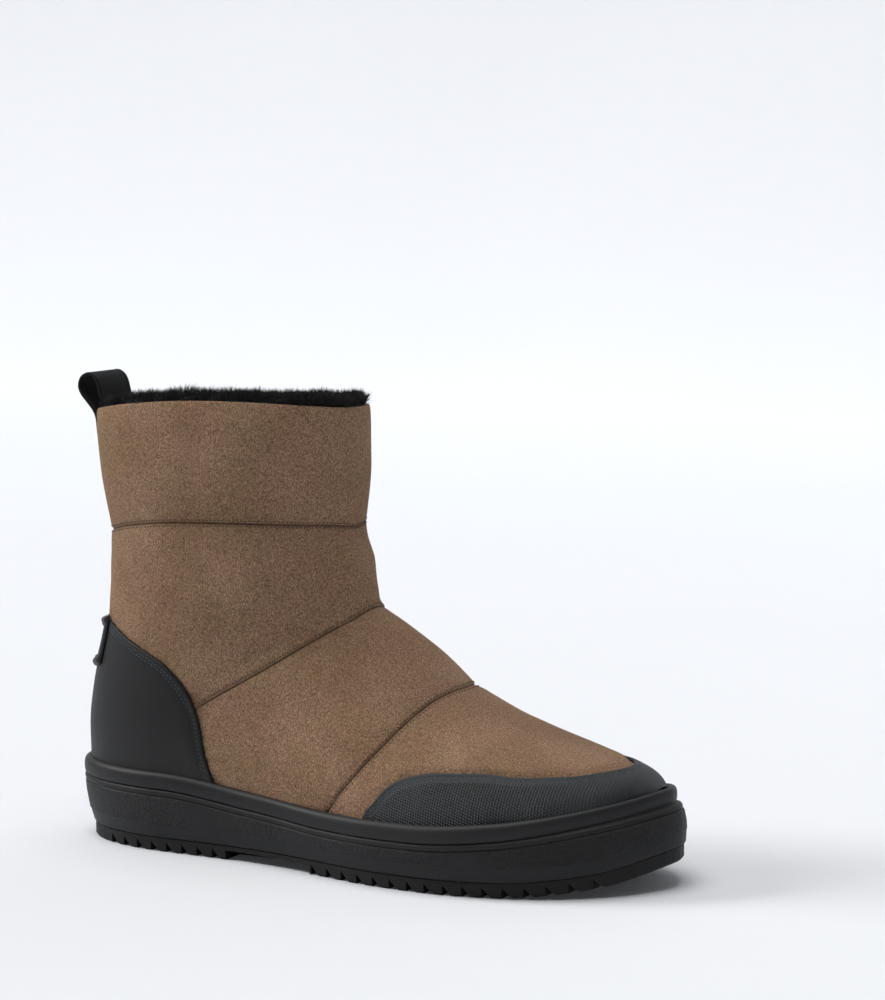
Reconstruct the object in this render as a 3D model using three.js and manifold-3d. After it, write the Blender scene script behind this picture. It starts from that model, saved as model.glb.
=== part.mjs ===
// Sheepskin ankle boot, right foot: a suede upper with a fur wall, black toe cap and heel counter,
// and a rubber cup sole. X runs from heel to toe, Y towards the inner (medial) side, Z up.
// Millimetres. The origin is on the floor, under the middle of the boot.
import * as THREE from "three";
import { mergeVertices } from "three/addons/utils/BufferGeometryUtils.js";
import Module from "manifold-3d";

const wasm = await Module();
wasm.setup();

// Driving dimensions
const SOLE_LENGTH = 305;
const GAP = 0.3;
const DECK_GAP = 0.45; // the foot of the upper is straight between its sections, and the deck is curved
const WALL = 8; // suede with its fur
const OVERLAY = 1.4; // toe cap, heel counter and heel tab
const OVERLAY_FOOT = 2; // the cap and counter end this far above the upper's foot, behind the welt
const FEATHER_INSET = 5; // from the sole's edge to the foot of the upper
const TOE_RAKE = 4.5; // the top of the sole is set back this far at the toe
const FEATHER_DROP = 6; // the foot of the upper stands this far under the top of the welt
const LATERAL = -1;
const MEDIAL = 1;
const OUTSOLE_THICKNESS = 6.5;
const OUTSOLE_INSET = 5.2;
const TREAD_DEPTH = 4.6;
const TAPE_WIDTH = 26;
const TAPE_THICKNESS = 1.4;
const INSOLE_THICKNESS = 4;
const SLIVER = 0.02; // cuts leave no edge shorter than this

// ---- curves ----

// A smooth curve through a table's rows that never overshoots them.
function steadyCurve(table, at, column) {
  const xs = table.map((row) => row[at]);
  const ys = table.map((row) => row[column]);
  const rise = xs.slice(1).map((x, i) => (ys[i + 1] - ys[i]) / (x - xs[i]));
  const slope = ys.map((_, i) => {
    if (i === 0) return rise[0];
    if (i === ys.length - 1) return rise[i - 1];
    if (rise[i - 1] * rise[i] <= 0) return 0;
    const before = xs[i] - xs[i - 1];
    const after = xs[i + 1] - xs[i];
    const nearAfter = 2 * after + before;
    const nearBefore = after + 2 * before;
    return (nearAfter + nearBefore) / (nearAfter / rise[i - 1] + nearBefore / rise[i]);
  });
  return (x) => {
    const held = THREE.MathUtils.clamp(x, xs[0], xs[xs.length - 1]);
    let i = xs.length - 2;
    while (i > 0 && held < xs[i]) i -= 1;
    const step = xs[i + 1] - xs[i];
    const u = (held - xs[i]) / step;
    const start = (1 + 2 * u) * (1 - u) ** 2 * ys[i] + u * (1 - u) ** 2 * step * slope[i];
    return start + u * u * (3 - 2 * u) * ys[i + 1] + u * u * (u - 1) * step * slope[i + 1];
  };
}

// ---- solids ----

function solidFrom(points, triangles) {
  const geometry = new THREE.BufferGeometry().setFromPoints(points);
  geometry.setIndex(triangles.flat());
  const merged = mergeVertices(geometry, 1e-4);
  const index = Array.from(merged.index.array);
  const whole = [];
  for (let i = 0; i < index.length; i += 3) {
    const [a, b, c] = index.slice(i, i + 3);
    if (a !== b && b !== c && c !== a) whole.push(a, b, c);
  }
  const mesh = new wasm.Mesh({
    numProp: 3,
    vertProperties: merged.attributes.position.array,
    triVerts: new Uint32Array(whole),
  });
  return new wasm.Manifold(mesh);
}

// Quads between rows of points, each split along its shorter diagonal. Each row closes on itself.
function ringSides(rows) {
  const count = rows[0].length;
  const triangles = [];
  for (let i = 0; i < rows.length - 1; i += 1) {
    for (let j = 0; j < count; j += 1) {
      const next = (j + 1) % count;
      const [a, b] = [i * count + j, i * count + next];
      const [d, c] = [a + count, b + count];
      const ahead = rows[i][j].distanceTo(rows[i + 1][next]);
      const back = rows[i][next].distanceTo(rows[i + 1][j]);
      triangles.push(...(ahead < back ? [[a, c, b], [a, d, c]] : [[a, d, b], [b, d, c]]));
    }
  }
  return triangles;
}

// Closes a ring whose point j lies opposite point count - 1 - j, like the rungs of a ladder.
function ladder(first, count, flip) {
  const triangles = [];
  for (let j = 0; j < count / 2 - 1; j += 1) {
    const a = first + j;
    const b = first + j + 1;
    const c = first + count - 2 - j;
    const d = first + count - 1 - j;
    triangles.push([a, b, c], [a, c, d]);
  }
  return flip ? triangles.map(([a, b, c]) => [a, c, b]) : triangles;
}

function loft(rows) {
  const count = rows[0].length;
  const triangles = [
    ...ringSides(rows),
    ...ladder(0, count, false),
    ...ladder((rows.length - 1) * count, count, true),
  ];
  const solid = solidFrom(rows.flat(), triangles);
  return solid.volume() < 0 ? solidFrom(rows.flat(), triangles.map(([a, b, c]) => [a, c, b])) : solid;
}

const X_AXIS = new THREE.Vector3(1, 0, 0);
const Y_AXIS = new THREE.Vector3(0, 1, 0);
const Z_AXIS = new THREE.Vector3(0, 0, 1);

// A closed outline of [across, up] pairs, extruded along one axis from one place to another.
function prism(outline, axis, from, to) {
  const shape = new THREE.Shape(outline.map(([a, b]) => new THREE.Vector2(a, b)));
  const geometry = new THREE.ExtrudeGeometry(shape, { depth: to - from, bevelEnabled: false });
  geometry.translate(0, 0, from);
  const [across, up, along] = axis === "x" ? [Y_AXIS, Z_AXIS, X_AXIS] : [X_AXIS, Z_AXIS, Y_AXIS];
  geometry.applyMatrix4(new THREE.Matrix4().makeBasis(across, up, along));
  return solidOf(geometry);
}

function block(x0, x1, y0, y1, z0, z1) {
  const box = new THREE.BoxGeometry(x1 - x0, y1 - y0, z1 - z0);
  return solidOf(box.translate((x0 + x1) / 2, (y0 + y1) / 2, (z0 + z1) / 2));
}

function solidOf(geometry) {
  const bare = geometry.clone();
  bare.deleteAttribute("normal");
  bare.deleteAttribute("uv");
  const merged = mergeVertices(bare, 1e-4);
  const triVerts = new Uint32Array(merged.index.array);
  const vertProperties = merged.attributes.position.array;
  const made = (order) => new wasm.Manifold(new wasm.Mesh({ numProp: 3, vertProperties, triVerts: order }));
  const solid = made(triVerts);
  if (solid.volume() > 0) return solid;
  for (let i = 0; i < triVerts.length; i += 3) {
    [triVerts[i + 1], triVerts[i + 2]] = [triVerts[i + 2], triVerts[i + 1]];
  }
  return made(triVerts);
}

// ---- sole outline ----

// Half widths of the sole between heel and toe, from the boot's long axis.
const SOLE_WIDTHS = [
  { x: 61, lateral: 38.8, medial: 38 },
  { x: 92, lateral: 39.7, medial: 36 },
  { x: 122, lateral: 43.1, medial: 34 },
  { x: 152, lateral: 50, medial: 36 },
  { x: 183, lateral: 56.5, medial: 42 },
  { x: 207, lateral: 57.7, medial: 47.5 },
  { x: 245, lateral: 57.7, medial: 52 },
];
const HEEL_CENTRE = 61;
const TOE_Y = 10;
const TOE_ENDS = {
  lateral: { from: 207, bend: 1.9, blunt: 0.625 },
  medial: { from: 245, bend: 2.2, blunt: 0.55 },
};
const widthCurves = {
  lateral: steadyCurve(SOLE_WIDTHS, "x", "lateral"),
  medial: steadyCurve(SOLE_WIDTHS, "x", "medial"),
};

function soleY(x, side, inset = 0) {
  const name = side === LATERAL ? "lateral" : "medial";
  const width = widthCurves[name];
  const toe = TOE_ENDS[name];
  if (x < HEEL_CENTRE) {
    const v = Math.min(1, (HEEL_CENTRE - x) / (HEEL_CENTRE - inset));
    return side * (width(HEEL_CENTRE) - inset) * Math.sqrt(1 - v * v);
  }
  if (x <= toe.from) return side * (width(x) - inset);
  const v = Math.min(1, (x - toe.from) / (SOLE_LENGTH - inset - toe.from));
  const reach = width(toe.from) - inset - side * TOE_Y;
  return TOE_Y + side * reach * (1 - v ** toe.bend) ** toe.blunt;
}

// Heights of the sole's edges along its length.
const SOLE_HEIGHTS = [
  { x: 0, top: 38.5, foot: 0 },
  { x: 60, top: 38.5, foot: 0 },
  { x: 110, top: 34, foot: 0 },
  { x: 160, top: 30.8, foot: 0 },
  { x: 200, top: 31, foot: 0 },
  { x: 240, top: 33.8, foot: 0.3 },
  { x: 280, top: 40.5, foot: 4.5 },
  { x: 305, top: 46.5, foot: 12.5 },
];
const soleTop = steadyCurve(SOLE_HEIGHTS, "x", "top");
const soleFoot = steadyCurve(SOLE_HEIGHTS, "x", "foot");
const featherZ = (x) => soleTop(x) - FEATHER_DROP;

// One ring round the sole: heel to toe on the lateral side, and back on the medial side.
// The rake sets the ring back at the toe.
const SOLE_STEPS = 34;
const RAKE_FROM = 215;
const raked = (inset, rake, x) => inset + rake * THREE.MathUtils.smoothstep(x, RAKE_FROM, SOLE_LENGTH);
function soleRing(inset, heightAt, rake = 0) {
  const length = SOLE_LENGTH - rake - 2 * inset;
  const stations = [];
  for (let k = 0; k <= SOLE_STEPS; k += 1) {
    stations.push(inset + (length * (1 - Math.cos((Math.PI * k) / SOLE_STEPS))) / 2);
  }
  const place = (x, side) => new THREE.Vector3(x, soleY(x, side, raked(inset, rake, x)), heightAt(x));
  const lateral = stations.map((x) => place(x, LATERAL));
  const medial = stations.map((x) => place(x, MEDIAL));
  return [...lateral, ...medial.reverse()];
}

// ---- upper ----

// Sections of the upper from collar to toe. In side view each runs from its back point, on the heel or on
// the feather edge, to its front point on the shin or vamp. Widths are half widths at the widest place,
// "widest" is that place's share of the way from back to front, and "full" is how full the front is.
// Each row: at, front x and z, back x and z, lateral and medial half widths, widest, full.
const SECTIONS = [
  [0, 149, 210, 10.4, 204, 43, 41, 0.46, 2.15],
  [1, 148.5, 182, 13.5, 175, 43.5, 42, 0.46, 2.15],
  [2, 146.5, 153.5, 18, 147, 42, 41, 0.46, 2.15],
  [3, 150.8, 139, 17.2, 113, 41, 40, 0.46, 2.15],
  [4, 152.8, 128, 9, 76, 39, 38, 0.45, 2.15],
  [5, 154.1, 122, 5, 32.5, 37.5, 36.5, 0.45, 2.15],
  [6, 155.2, 118, 36, 32.5, 37.5, 36, 0.5, 2.15],
  [7, 180, 101.2, 98, 29.2, 40, 36, 0.4, 2.1],
  [8, 204, 81.9, 158, 24.8, 43, 39.5, 0.3, 2.1],
  [9, 233, 67.6, 207, 25.2, 48.5, 47, 0.25, 2],
  [10, 263.5, 57.2, 249, 28.9, 44.2, 42.6, 0.2, 2],
  [11, 284.5, 49.8, 278, 34.6, 28.3, 28.3, 0.15, 2.1],
  [12, 294.5, 43.5, 293.5, 38.8, 8.8, 8.8, 0.1, 2.4],
].map(([at, frontX, frontZ, backX, backZ, lateral, medial, widest, full]) => ({
  at,
  frontX,
  frontZ,
  backX,
  backZ,
  lateral,
  medial,
  widest,
  full,
}));
const LAST_CLOSED = 5; // sections up to this one close round the heel, and later ones end on the feather edge
const ROUND_TOE_SECTION = 10;
const TOE_SECTION = 12;
const RIDGE_BEND = { from: 4, to: 11, toeY: 9.5 }; // the instep ridge swings towards the big toe
const COLLAR_LIFT = { mm: 6, gone: 4 }; // the lateral collar and its seam bow upwards
const HEEL_REACH = { footZ: 32.5, foot: 56, collarZ: 205, collar: 64 };
const ROUND_STEPS = 15;

const column = (name) => steadyCurve(SECTIONS, "at", name);
const section = {
  frontX: column("frontX"),
  frontZ: column("frontZ"),
  backX: column("backX"),
  backZ: column("backZ"),
  lateral: column("lateral"),
  medial: column("medial"),
  widest: column("widest"),
  full: column("full"),
};

const backProfile = steadyCurve(SECTIONS.slice(0, LAST_CLOSED + 1).reverse(), "backZ", "backX");

function ridgeY(t) {
  return RIDGE_BEND.toeY * THREE.MathUtils.smoothstep(t, RIDGE_BEND.from, RIDGE_BEND.to);
}

// How far the heel end of the upper rounds in towards the back profile, as a share of the full width.
function heelRound(x, z) {
  const { footZ, foot, collarZ, collar } = HEEL_REACH;
  const reach = THREE.MathUtils.mapLinear(z, footZ, collarZ, foot, collar);
  const e = THREE.MathUtils.clamp(1 - (x - backProfile(z)) / reach, 0, 1);
  return Math.sqrt(1 - e * e);
}

// Half width of the upper's foot at the feather edge, before the heel rounds it.
function footWidth(x, side) {
  const inset = raked(FEATHER_INSET, TOE_RAKE, x);
  return side * soleY(Math.max(x, HEEL_CENTRE), side, inset);
}

// One point of the upper's outer face: section t, share v of the way from back to front, one side.
function upperPoint(t, v, side, under) {
  const open = THREE.MathUtils.clamp(t - LAST_CLOSED, 0, 1);
  const loopShare = (1 - Math.cos(Math.PI * v)) / 2;
  const archShare = Math.sin((Math.PI * v) / 2);
  const u = THREE.MathUtils.lerp(loopShare, archShare, open);
  const backX = section.backX(t);
  const lowered = under * THREE.MathUtils.smoothstep(t, LAST_CLOSED - 1, LAST_CLOSED);
  const backZ = open > 0 ? featherZ(backX) : section.backZ(t);
  const x = THREE.MathUtils.lerp(backX, section.frontX(t), u);
  const flatZ = THREE.MathUtils.lerp(backZ - lowered, section.frontZ(t), u);
  const lift = side === LATERAL ? COLLAR_LIFT.mm * Math.max(0, 1 - t / COLLAR_LIFT.gone) : 0;

  const opening = THREE.MathUtils.smoothstep(t, LAST_CLOSED - 1, LAST_CLOSED);
  const middle = ((footWidth(backX, MEDIAL) - footWidth(backX, LATERAL)) / 2) * opening;
  const centre = THREE.MathUtils.lerp(middle, ridgeY(t), u);
  const halfWidth = side === LATERAL ? section.lateral(t) : section.medial(t);
  const widest = section.widest(t);
  let width = halfWidth;
  if (u > widest) {
    const full = section.full(t);
    width *= (1 - ((u - widest) / (1 - widest)) ** full) ** (1 / full);
  } else {
    const foot = THREE.MathUtils.lerp(halfWidth, footWidth(backX, side) - side * middle, opening);
    width = THREE.MathUtils.lerp(foot, halfWidth, 1 - ((widest - u) / widest) ** 2);
  }
  const round = heelRound(x, flatZ);
  return new THREE.Vector3(x, (centre + side * width) * round, flatZ + lift * 4 * u * (1 - u));
}

// Section places from the collar to an end near the toe, closer together where the toe rounds off.
function sectionPlaces(end) {
  const places = [];
  for (let t = 0; t < LAST_CLOSED; t += 0.5) places.push(t);
  places.push(LAST_CLOSED, LAST_CLOSED + 0.2);
  for (let t = LAST_CLOSED + 0.5; t < ROUND_TOE_SECTION; t += 0.5) places.push(t);
  for (let t = ROUND_TOE_SECTION; t < end - 0.1; t += 0.25) places.push(t);
  return [...places, end];
}

// The outward direction at a point of the outer face. It is level along the back seam and the feather
// edge, so that an offset keeps those at their height.
const NORMAL_STEP = 0.02;
function outwards(t, v, side, under) {
  const clamp = THREE.MathUtils.clamp;
  const at = (dt, dv) => upperPoint(clamp(t + dt, 0, TOE_SECTION), clamp(v + dv, 0, 1), side, under);
  const downwards = at(NORMAL_STEP, 0).sub(at(-NORMAL_STEP, 0));
  const forwards = at(0, NORMAL_STEP).sub(at(0, -NORMAL_STEP));
  const normal = downwards.cross(forwards).multiplyScalar(-side);
  if (v === 0) normal.setZ(0);
  if (v === 1 || (v === 0 && t <= LAST_CLOSED)) normal.setY(0);
  return normal.normalize();
}

// One row of the upper's outer face, moved outwards by an offset.
function upperRow(t, offset, under) {
  const shares = Array.from({ length: ROUND_STEPS + 1 }, (_, k) => k / ROUND_STEPS);
  const place = (v, side) => {
    return upperPoint(t, v, side, under).addScaledVector(outwards(t, v, side, under), offset);
  };
  const lateral = shares.map((v) => place(v, LATERAL));
  const medial = shares.slice(0, -1).map((v) => place(v, MEDIAL));
  return [...lateral, ...medial.reverse()];
}

// The solid inside the upper's outer face moved outwards by an offset. It can reach past the collar
// and under the feather edge, and can end short of the toe.
function upperForm(offset, { over = 0, under = 0, toe = TOE_SECTION } = {}) {
  const rows = sectionPlaces(toe).map((t) => upperRow(t, offset, under));
  if (over > 0) rows.unshift(rows[0].map((p) => p.clone().add(new THREE.Vector3(0, 0, over))));
  return loft(rows);
}

// ---- regions in side view ----

// The toe cap's top edge, from the feather edge at the ball to the ridge at the toe.
const CAP_EDGE = [
  { x: 175, z: 24 },
  { x: 176, z: 31 },
  { x: 181, z: 38 },
  { x: 186, z: 44 },
  { x: 191, z: 47.6 },
  { x: 198, z: 50.2 },
  { x: 209, z: 52.1 },
  { x: 228, z: 52.5 },
  { x: 246, z: 51.2 },
  { x: 263, z: 51.2 },
  { x: 275, z: 51.9 },
  { x: 286, z: 52.2 },
  { x: 300, z: 54 },
];
// The heel counter's edge, from its top at the back down to the feather edge at the waist.
const COUNTER_EDGE = [
  { x: 5, z: 108.5 },
  { x: 27, z: 105.8 },
  { x: 37.5, z: 101.9 },
  { x: 47, z: 98.2 },
  { x: 56.5, z: 94.2 },
  { x: 64, z: 90.6 },
  { x: 70.6, z: 85.1 },
  { x: 76, z: 79.2 },
  { x: 79.8, z: 72.8 },
  { x: 83.4, z: 62 },
  { x: 85.3, z: 51.5 },
  { x: 90, z: 36.7 },
  { x: 94, z: 20 },
];
const HEEL_TAB = { halfWidth: 24, foot: 80, top: 105 };
const ZIP = { topX: 76, topZ: 230, footX: 90, footZ: 80, width: 9, depth: 2.6, recess: 0.6, inwards: 8 };
const AROUND = 70; // cuts reach this far to either side
const BEYOND_TOE = 320;
const BEHIND_HEEL = -10;
const BELOW_FEATHER = 20;

const capRegion = (grow) => [
  ...CAP_EDGE.map(({ x, z }) => [x - grow, z + grow]),
  [BEYOND_TOE, CAP_EDGE.at(-1).z + grow],
  [BEYOND_TOE, BELOW_FEATHER],
  [CAP_EDGE[0].x - grow, BELOW_FEATHER],
];
const counterRegion = (grow) => [
  ...COUNTER_EDGE.map(({ x, z }) => [x + grow, z + grow]),
  [BEHIND_HEEL, BELOW_FEATHER],
  [BEHIND_HEEL, COUNTER_EDGE[0].z + grow],
];

// ---- pieces ----

const overlayInside = upperForm(GAP);
const overlayOutside = upperForm(GAP + OVERLAY);
const overlayShell = overlayOutside.subtract(overlayInside).subtract(upperForm(0));
const cavity = upperForm(-WALL, { over: 10, under: 9, toe: 11.5 });

// A slab whose lower face stays a little above the feather edge.
function aboveFeather(clearance) {
  return loft([soleRing(-8, (x) => featherZ(x) + clearance), soleRing(-8, () => 260)]);
}

function zipPolygon(grow) {
  const half = ZIP.width / 2 + grow;
  const foot = ZIP.footZ - grow;
  return [
    [ZIP.topX - half, ZIP.topZ],
    [ZIP.topX + half, ZIP.topZ],
    [ZIP.footX + half, foot],
    [ZIP.footX - half, foot],
  ];
}

function upperPiece() {
  const groove = upperForm(3, { over: 20 }).subtract(upperForm(-ZIP.recess - ZIP.depth - GAP, { over: 30 }));
  const zipRecess = groove.intersect(prism(zipPolygon(GAP), "y", ZIP.inwards, AROUND));
  return upperForm(0).subtract(cavity).subtract(zipRecess);
}

function zipPiece() {
  const strip = upperForm(-ZIP.recess).subtract(upperForm(-ZIP.recess - ZIP.depth, { over: 20 }));
  return strip.intersect(prism(zipPolygon(0), "y", ZIP.inwards, AROUND));
}

function toeCapPiece() {
  const region = prism(capRegion(0), "y", -AROUND, AROUND);
  return overlayShell.intersect(region).intersect(aboveFeather(OVERLAY_FOOT));
}

function heelCounterPiece() {
  const region = prism(counterRegion(0), "y", -AROUND, AROUND);
  return overlayShell.intersect(region).intersect(aboveFeather(OVERLAY_FOOT));
}

function heelTabPiece() {
  const inside = upperForm(2 * GAP + OVERLAY);
  const outside = upperForm(2 * GAP + 2 * OVERLAY);
  const face = [
    [-HEEL_TAB.halfWidth, HEEL_TAB.foot],
    [HEEL_TAB.halfWidth, HEEL_TAB.foot],
    [HEEL_TAB.halfWidth, HEEL_TAB.top],
    [-HEEL_TAB.halfWidth, HEEL_TAB.top],
  ];
  return outside.subtract(inside).intersect(prism(face, "x", -20, 40));
}

// The rounded bead that hides the foot of the upper.
function weltPiece() {
  const atTop = (down) => (x) => soleTop(x) - down;
  const bead = loft([
    soleRing(1, atTop(FEATHER_DROP), TOE_RAKE),
    soleRing(0.2, atTop(3.8), TOE_RAKE),
    soleRing(0.9, atTop(1.3), TOE_RAKE),
    soleRing(2.8, atTop(0), TOE_RAKE),
    soleRing(4.8, atTop(0.8), TOE_RAKE),
    soleRing(6.5, atTop(3), TOE_RAKE),
  ]);
  const foot = loft([
    soleRing(FEATHER_INSET - GAP, () => 0, TOE_RAKE),
    soleRing(FEATHER_INSET - GAP, (x) => featherZ(x) + 1.2, TOE_RAKE),
  ]);
  const overlays = upperForm(2 * GAP + OVERLAY);
  return bead
    .subtract(foot)
    .subtract(overlayInside)
    .subtract(overlays.intersect(prism(capRegion(GAP), "y", -AROUND, AROUND)))
    .subtract(overlays.intersect(prism(counterRegion(GAP), "y", -AROUND, AROUND)));
}

// The cup's sidewall leans in towards the floor.
function midsolePiece() {
  const foot = (x) => soleFoot(x) + OUTSOLE_THICKNESS + GAP;
  const deck = (x) => featherZ(x) - DECK_GAP;
  const between = (share) => (x) => THREE.MathUtils.lerp(foot(x), deck(x), share);
  return loft([
    soleRing(4.4, foot, -4.2),
    soleRing(2.7, between(0.22), -2.6),
    soleRing(0.4, between(0.65), 0.4),
    soleRing(0, between(0.85), 2.2),
    soleRing(0.8, deck, TOE_RAKE - 1.5),
  ]);
}

const BELOW_TREAD = -6; // cuts into the tread start this low
const TREAD = {
  heel: { first: 28, pitch: 8.5, teeth: 8 },
  forefoot: { first: 145.3, pitch: 8.9, teeth: 16 },
  notchWidth: 4.6,
  notchReach: 13,
};
const ARCH = { from: 95, to: 144, depth: 4.4 }; // under the waist only a bar in the middle is left
const GROOVE = { width: 3, depth: 2.4, everyTeeth: 2, rim: 3 }; // across the middle of the tread

function toothNotches({ first, pitch, teeth }) {
  const notches = [];
  for (let i = 0; i < teeth; i += 1) {
    const x = first + i * pitch;
    const z = soleFoot(x);
    const apex = z + TREAD_DEPTH;
    const spread = TREAD.notchWidth * ((TREAD_DEPTH - BELOW_TREAD) / TREAD_DEPTH);
    const outline = [
      [x, apex],
      [x, z + BELOW_TREAD],
      [x + spread, z + BELOW_TREAD],
    ];
    for (const side of [LATERAL, MEDIAL]) {
      const inner = soleY(x, side, OUTSOLE_INSET + TREAD.notchReach);
      const ends = [inner, side * AROUND].sort((a, b) => a - b);
      notches.push(prism(outline, "y", ...ends));
    }
  }
  return notches;
}

// Grooves across the middle of the tread leave flat lugs between them.
function middleGrooves({ first, pitch, teeth }) {
  const grooves = [];
  for (let i = 1; i < teeth; i += GROOVE.everyTeeth) {
    const x = first + i * pitch;
    const inset = OUTSOLE_INSET + TREAD.notchReach + GROOVE.rim;
    const ends = [LATERAL, MEDIAL].map((side) => soleY(x, side, inset));
    grooves.push(block(x, x + GROOVE.width, ...ends, BELOW_TREAD, soleFoot(x) + GROOVE.depth));
  }
  return grooves;
}

function outsolePiece() {
  const level = (rise) => (x) => soleFoot(x) + rise;
  let outsole = loft([
    soleRing(OUTSOLE_INSET + 0.8, level(0), -3.6),
    soleRing(OUTSOLE_INSET, level(1), -4),
    soleRing(OUTSOLE_INSET, level(OUTSOLE_THICKNESS), -4),
  ]);
  for (const row of [TREAD.heel, TREAD.forefoot]) {
    for (const cut of [...toothNotches(row), ...middleGrooves(row)]) outsole = outsole.subtract(cut);
  }
  const arch = [
    [ARCH.from, BELOW_TREAD],
    [ARCH.to, BELOW_TREAD],
    [ARCH.to, ARCH.depth],
    [ARCH.from, ARCH.depth],
  ];
  for (const side of [LATERAL, MEDIAL]) {
    const inner = soleY(ARCH.from, side, OUTSOLE_INSET + TREAD.notchReach);
    const ends = [inner, side * AROUND].sort((a, b) => a - b);
    outsole = outsole.subtract(prism(arch, "y", ...ends));
  }
  return outsole;
}

function insolePiece() {
  const board = loft([
    soleRing(9, featherZ, TOE_RAKE),
    soleRing(9, (x) => featherZ(x) + INSOLE_THICKNESS, TOE_RAKE),
  ]);
  return board.intersect(upperForm(-WALL - 1.2, { over: 10, under: 9, toe: 11.4 }));
}

// Side view of the pull loop's tape, from its sewn end behind the collar, round, to the collar's top.
const LOOP_PATH = [
  { x: 10.3, z: 194 },
  { x: 9.7, z: 199 },
  { x: 8.8, z: 203.5 },
  { x: 6.8, z: 207.5 },
  { x: 4.3, z: 211.5 },
  { x: 3.1, z: 215.5 },
  { x: 4.6, z: 219.4 },
  { x: 8.5, z: 221.2 },
  { x: 12, z: 219.3 },
  { x: 13.8, z: 215.5 },
  { x: 14.6, z: 211 },
  { x: 14.9, z: 206 },
];
const LOOP_WRAP = { bow: 0.02, from: 200, gone: 214 }; // the tape follows the collar's curve at its foot

function pullLoopPiece() {
  const places = LOOP_PATH.map(({ x, z }) => new THREE.Vector3(x, 0, z));
  const curve = new THREE.CatmullRomCurve3(places, false, "centripetal");
  const across = [-0.5, -0.25, 0, 0.25, 0.5].map((share) => share * TAPE_WIDTH);
  const rows = curve.getSpacedPoints(24).map((point, i, points) => {
    const along = points[Math.min(i + 1, 24)].clone().sub(points[Math.max(i - 1, 0)]).normalize();
    const outwards = new THREE.Vector3(-along.z, 0, along.x).multiplyScalar(TAPE_THICKNESS / 2);
    const wrap = LOOP_WRAP.bow * (1 - THREE.MathUtils.smoothstep(point.z, LOOP_WRAP.from, LOOP_WRAP.gone));
    const face = (sign) => {
      const line = across.map((y) => new THREE.Vector3(point.x + wrap * y * y, y, point.z));
      return line.map((place) => place.addScaledVector(outwards, sign));
    };
    return [...face(1), ...face(-1).reverse()];
  });
  return loft(rows).subtract(overlayInside);
}

// Where the upper's medial face stands at a place in side view.
function medialY(x, z) {
  let best = { off: Infinity, y: 0 };
  for (let t = 0; t < TOE_SECTION; t += 0.05) {
    for (let v = 0; v <= 1; v += 0.02) {
      const p = upperPoint(t, v, MEDIAL, 0);
      const off = Math.hypot(p.x - x, p.z - z);
      if (off < best.off) best = { off, y: p.y };
    }
  }
  return best.y;
}

const SLIDER = { z: 199, width: 7.6, height: 9, thickness: 2.6, bridge: 3.2, bar: 0.9, sunk: 0.5 };
const BRIDGE = { half: 3.4, eyeHalf: 2.4, eyeReach: 2 };
const PULL = { axisLift: 1.4, bar: 1.1, legs: 4.6, plateFrom: 4.2, lap: 1, length: 24, width: 6.4 };
SLIDER.x = THREE.MathUtils.mapLinear(SLIDER.z, ZIP.topZ, ZIP.footZ, ZIP.topX, ZIP.footX);
SLIDER.y = medialY(SLIDER.x, SLIDER.z) + GAP;

function zipSliderPiece() {
  const { x, y, z, width, height, thickness, bridge, bar, sunk } = SLIDER;
  const shield = [
    [x - width / 2, z + height / 2],
    [x + width / 2, z + height / 2],
    [x + width / 2, z],
    [x + width / 3, z - height / 2],
    [x - width / 3, z - height / 2],
    [x - width / 2, z],
  ];
  const top = y + thickness;
  const { half, eyeHalf, eyeReach } = BRIDGE;
  const staple = block(x - bar, x + bar, top - sunk, top + bridge, z - half, z + half);
  const eye = block(x - eyeReach, x + eyeReach, top, top + bridge - bar, z - eyeHalf, z + eyeHalf);
  return prism(shield, "y", y, top).add(staple.subtract(eye));
}

function zipPullPiece() {
  const { x, y, z, thickness } = SLIDER;
  const axisY = y + thickness + PULL.axisLift;
  const half = PULL.bar / 2;
  const slab = (x0, x1, z0, z1) => block(x0, x1, axisY - half, axisY + half, z0, z1);
  const bar = slab(x - PULL.legs / 2, x + PULL.legs / 2, z - half, z + half);
  const plate = slab(x - PULL.width / 2, x + PULL.width / 2, z - PULL.length, z - PULL.plateFrom);
  const leg = (side) => {
    const middle = x + (side * PULL.legs) / 2;
    return slab(middle - half, middle + half, z - PULL.plateFrom - PULL.lap, z + half);
  };
  return bar.add(leg(-1)).add(leg(1)).add(plate);
}

// ---- assembly ----

// The largest body of a cut solid, without the slivers that curved faces leave where they nearly meet.
function cleaned(cut) {
  const bodies = cut.asOriginal().simplify(SLIVER).decompose();
  return bodies.sort((a, b) => b.volume() - a.volume())[0];
}

function addPiece(group, name, cut, finish) {
  const made = cleaned(cut).getMesh();
  const geometry = new THREE.BufferGeometry();
  geometry.setAttribute("position", new THREE.BufferAttribute(made.vertProperties, 3));
  geometry.setIndex(new THREE.BufferAttribute(made.triVerts, 1));
  const mesh = new THREE.Mesh(geometry, new THREE.MeshStandardMaterial(finish));
  mesh.name = name;
  group.add(mesh);
}

const SUEDE = { color: 0x7d6452, roughness: 0.95 };
const CAP_LEATHER = { color: 0x333335, roughness: 0.6 };
const COUNTER_LEATHER = { color: 0x2c2c2c, roughness: 0.55 };
const RUBBER = { color: 0x2b2b2d, roughness: 0.7 };
const FUR = { color: 0x171718, roughness: 1 };
const TAPE = { color: 0x18181a, roughness: 0.8 };
const STEEL = { color: 0x9a9a9c, roughness: 0.35, metalness: 1 };

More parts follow.
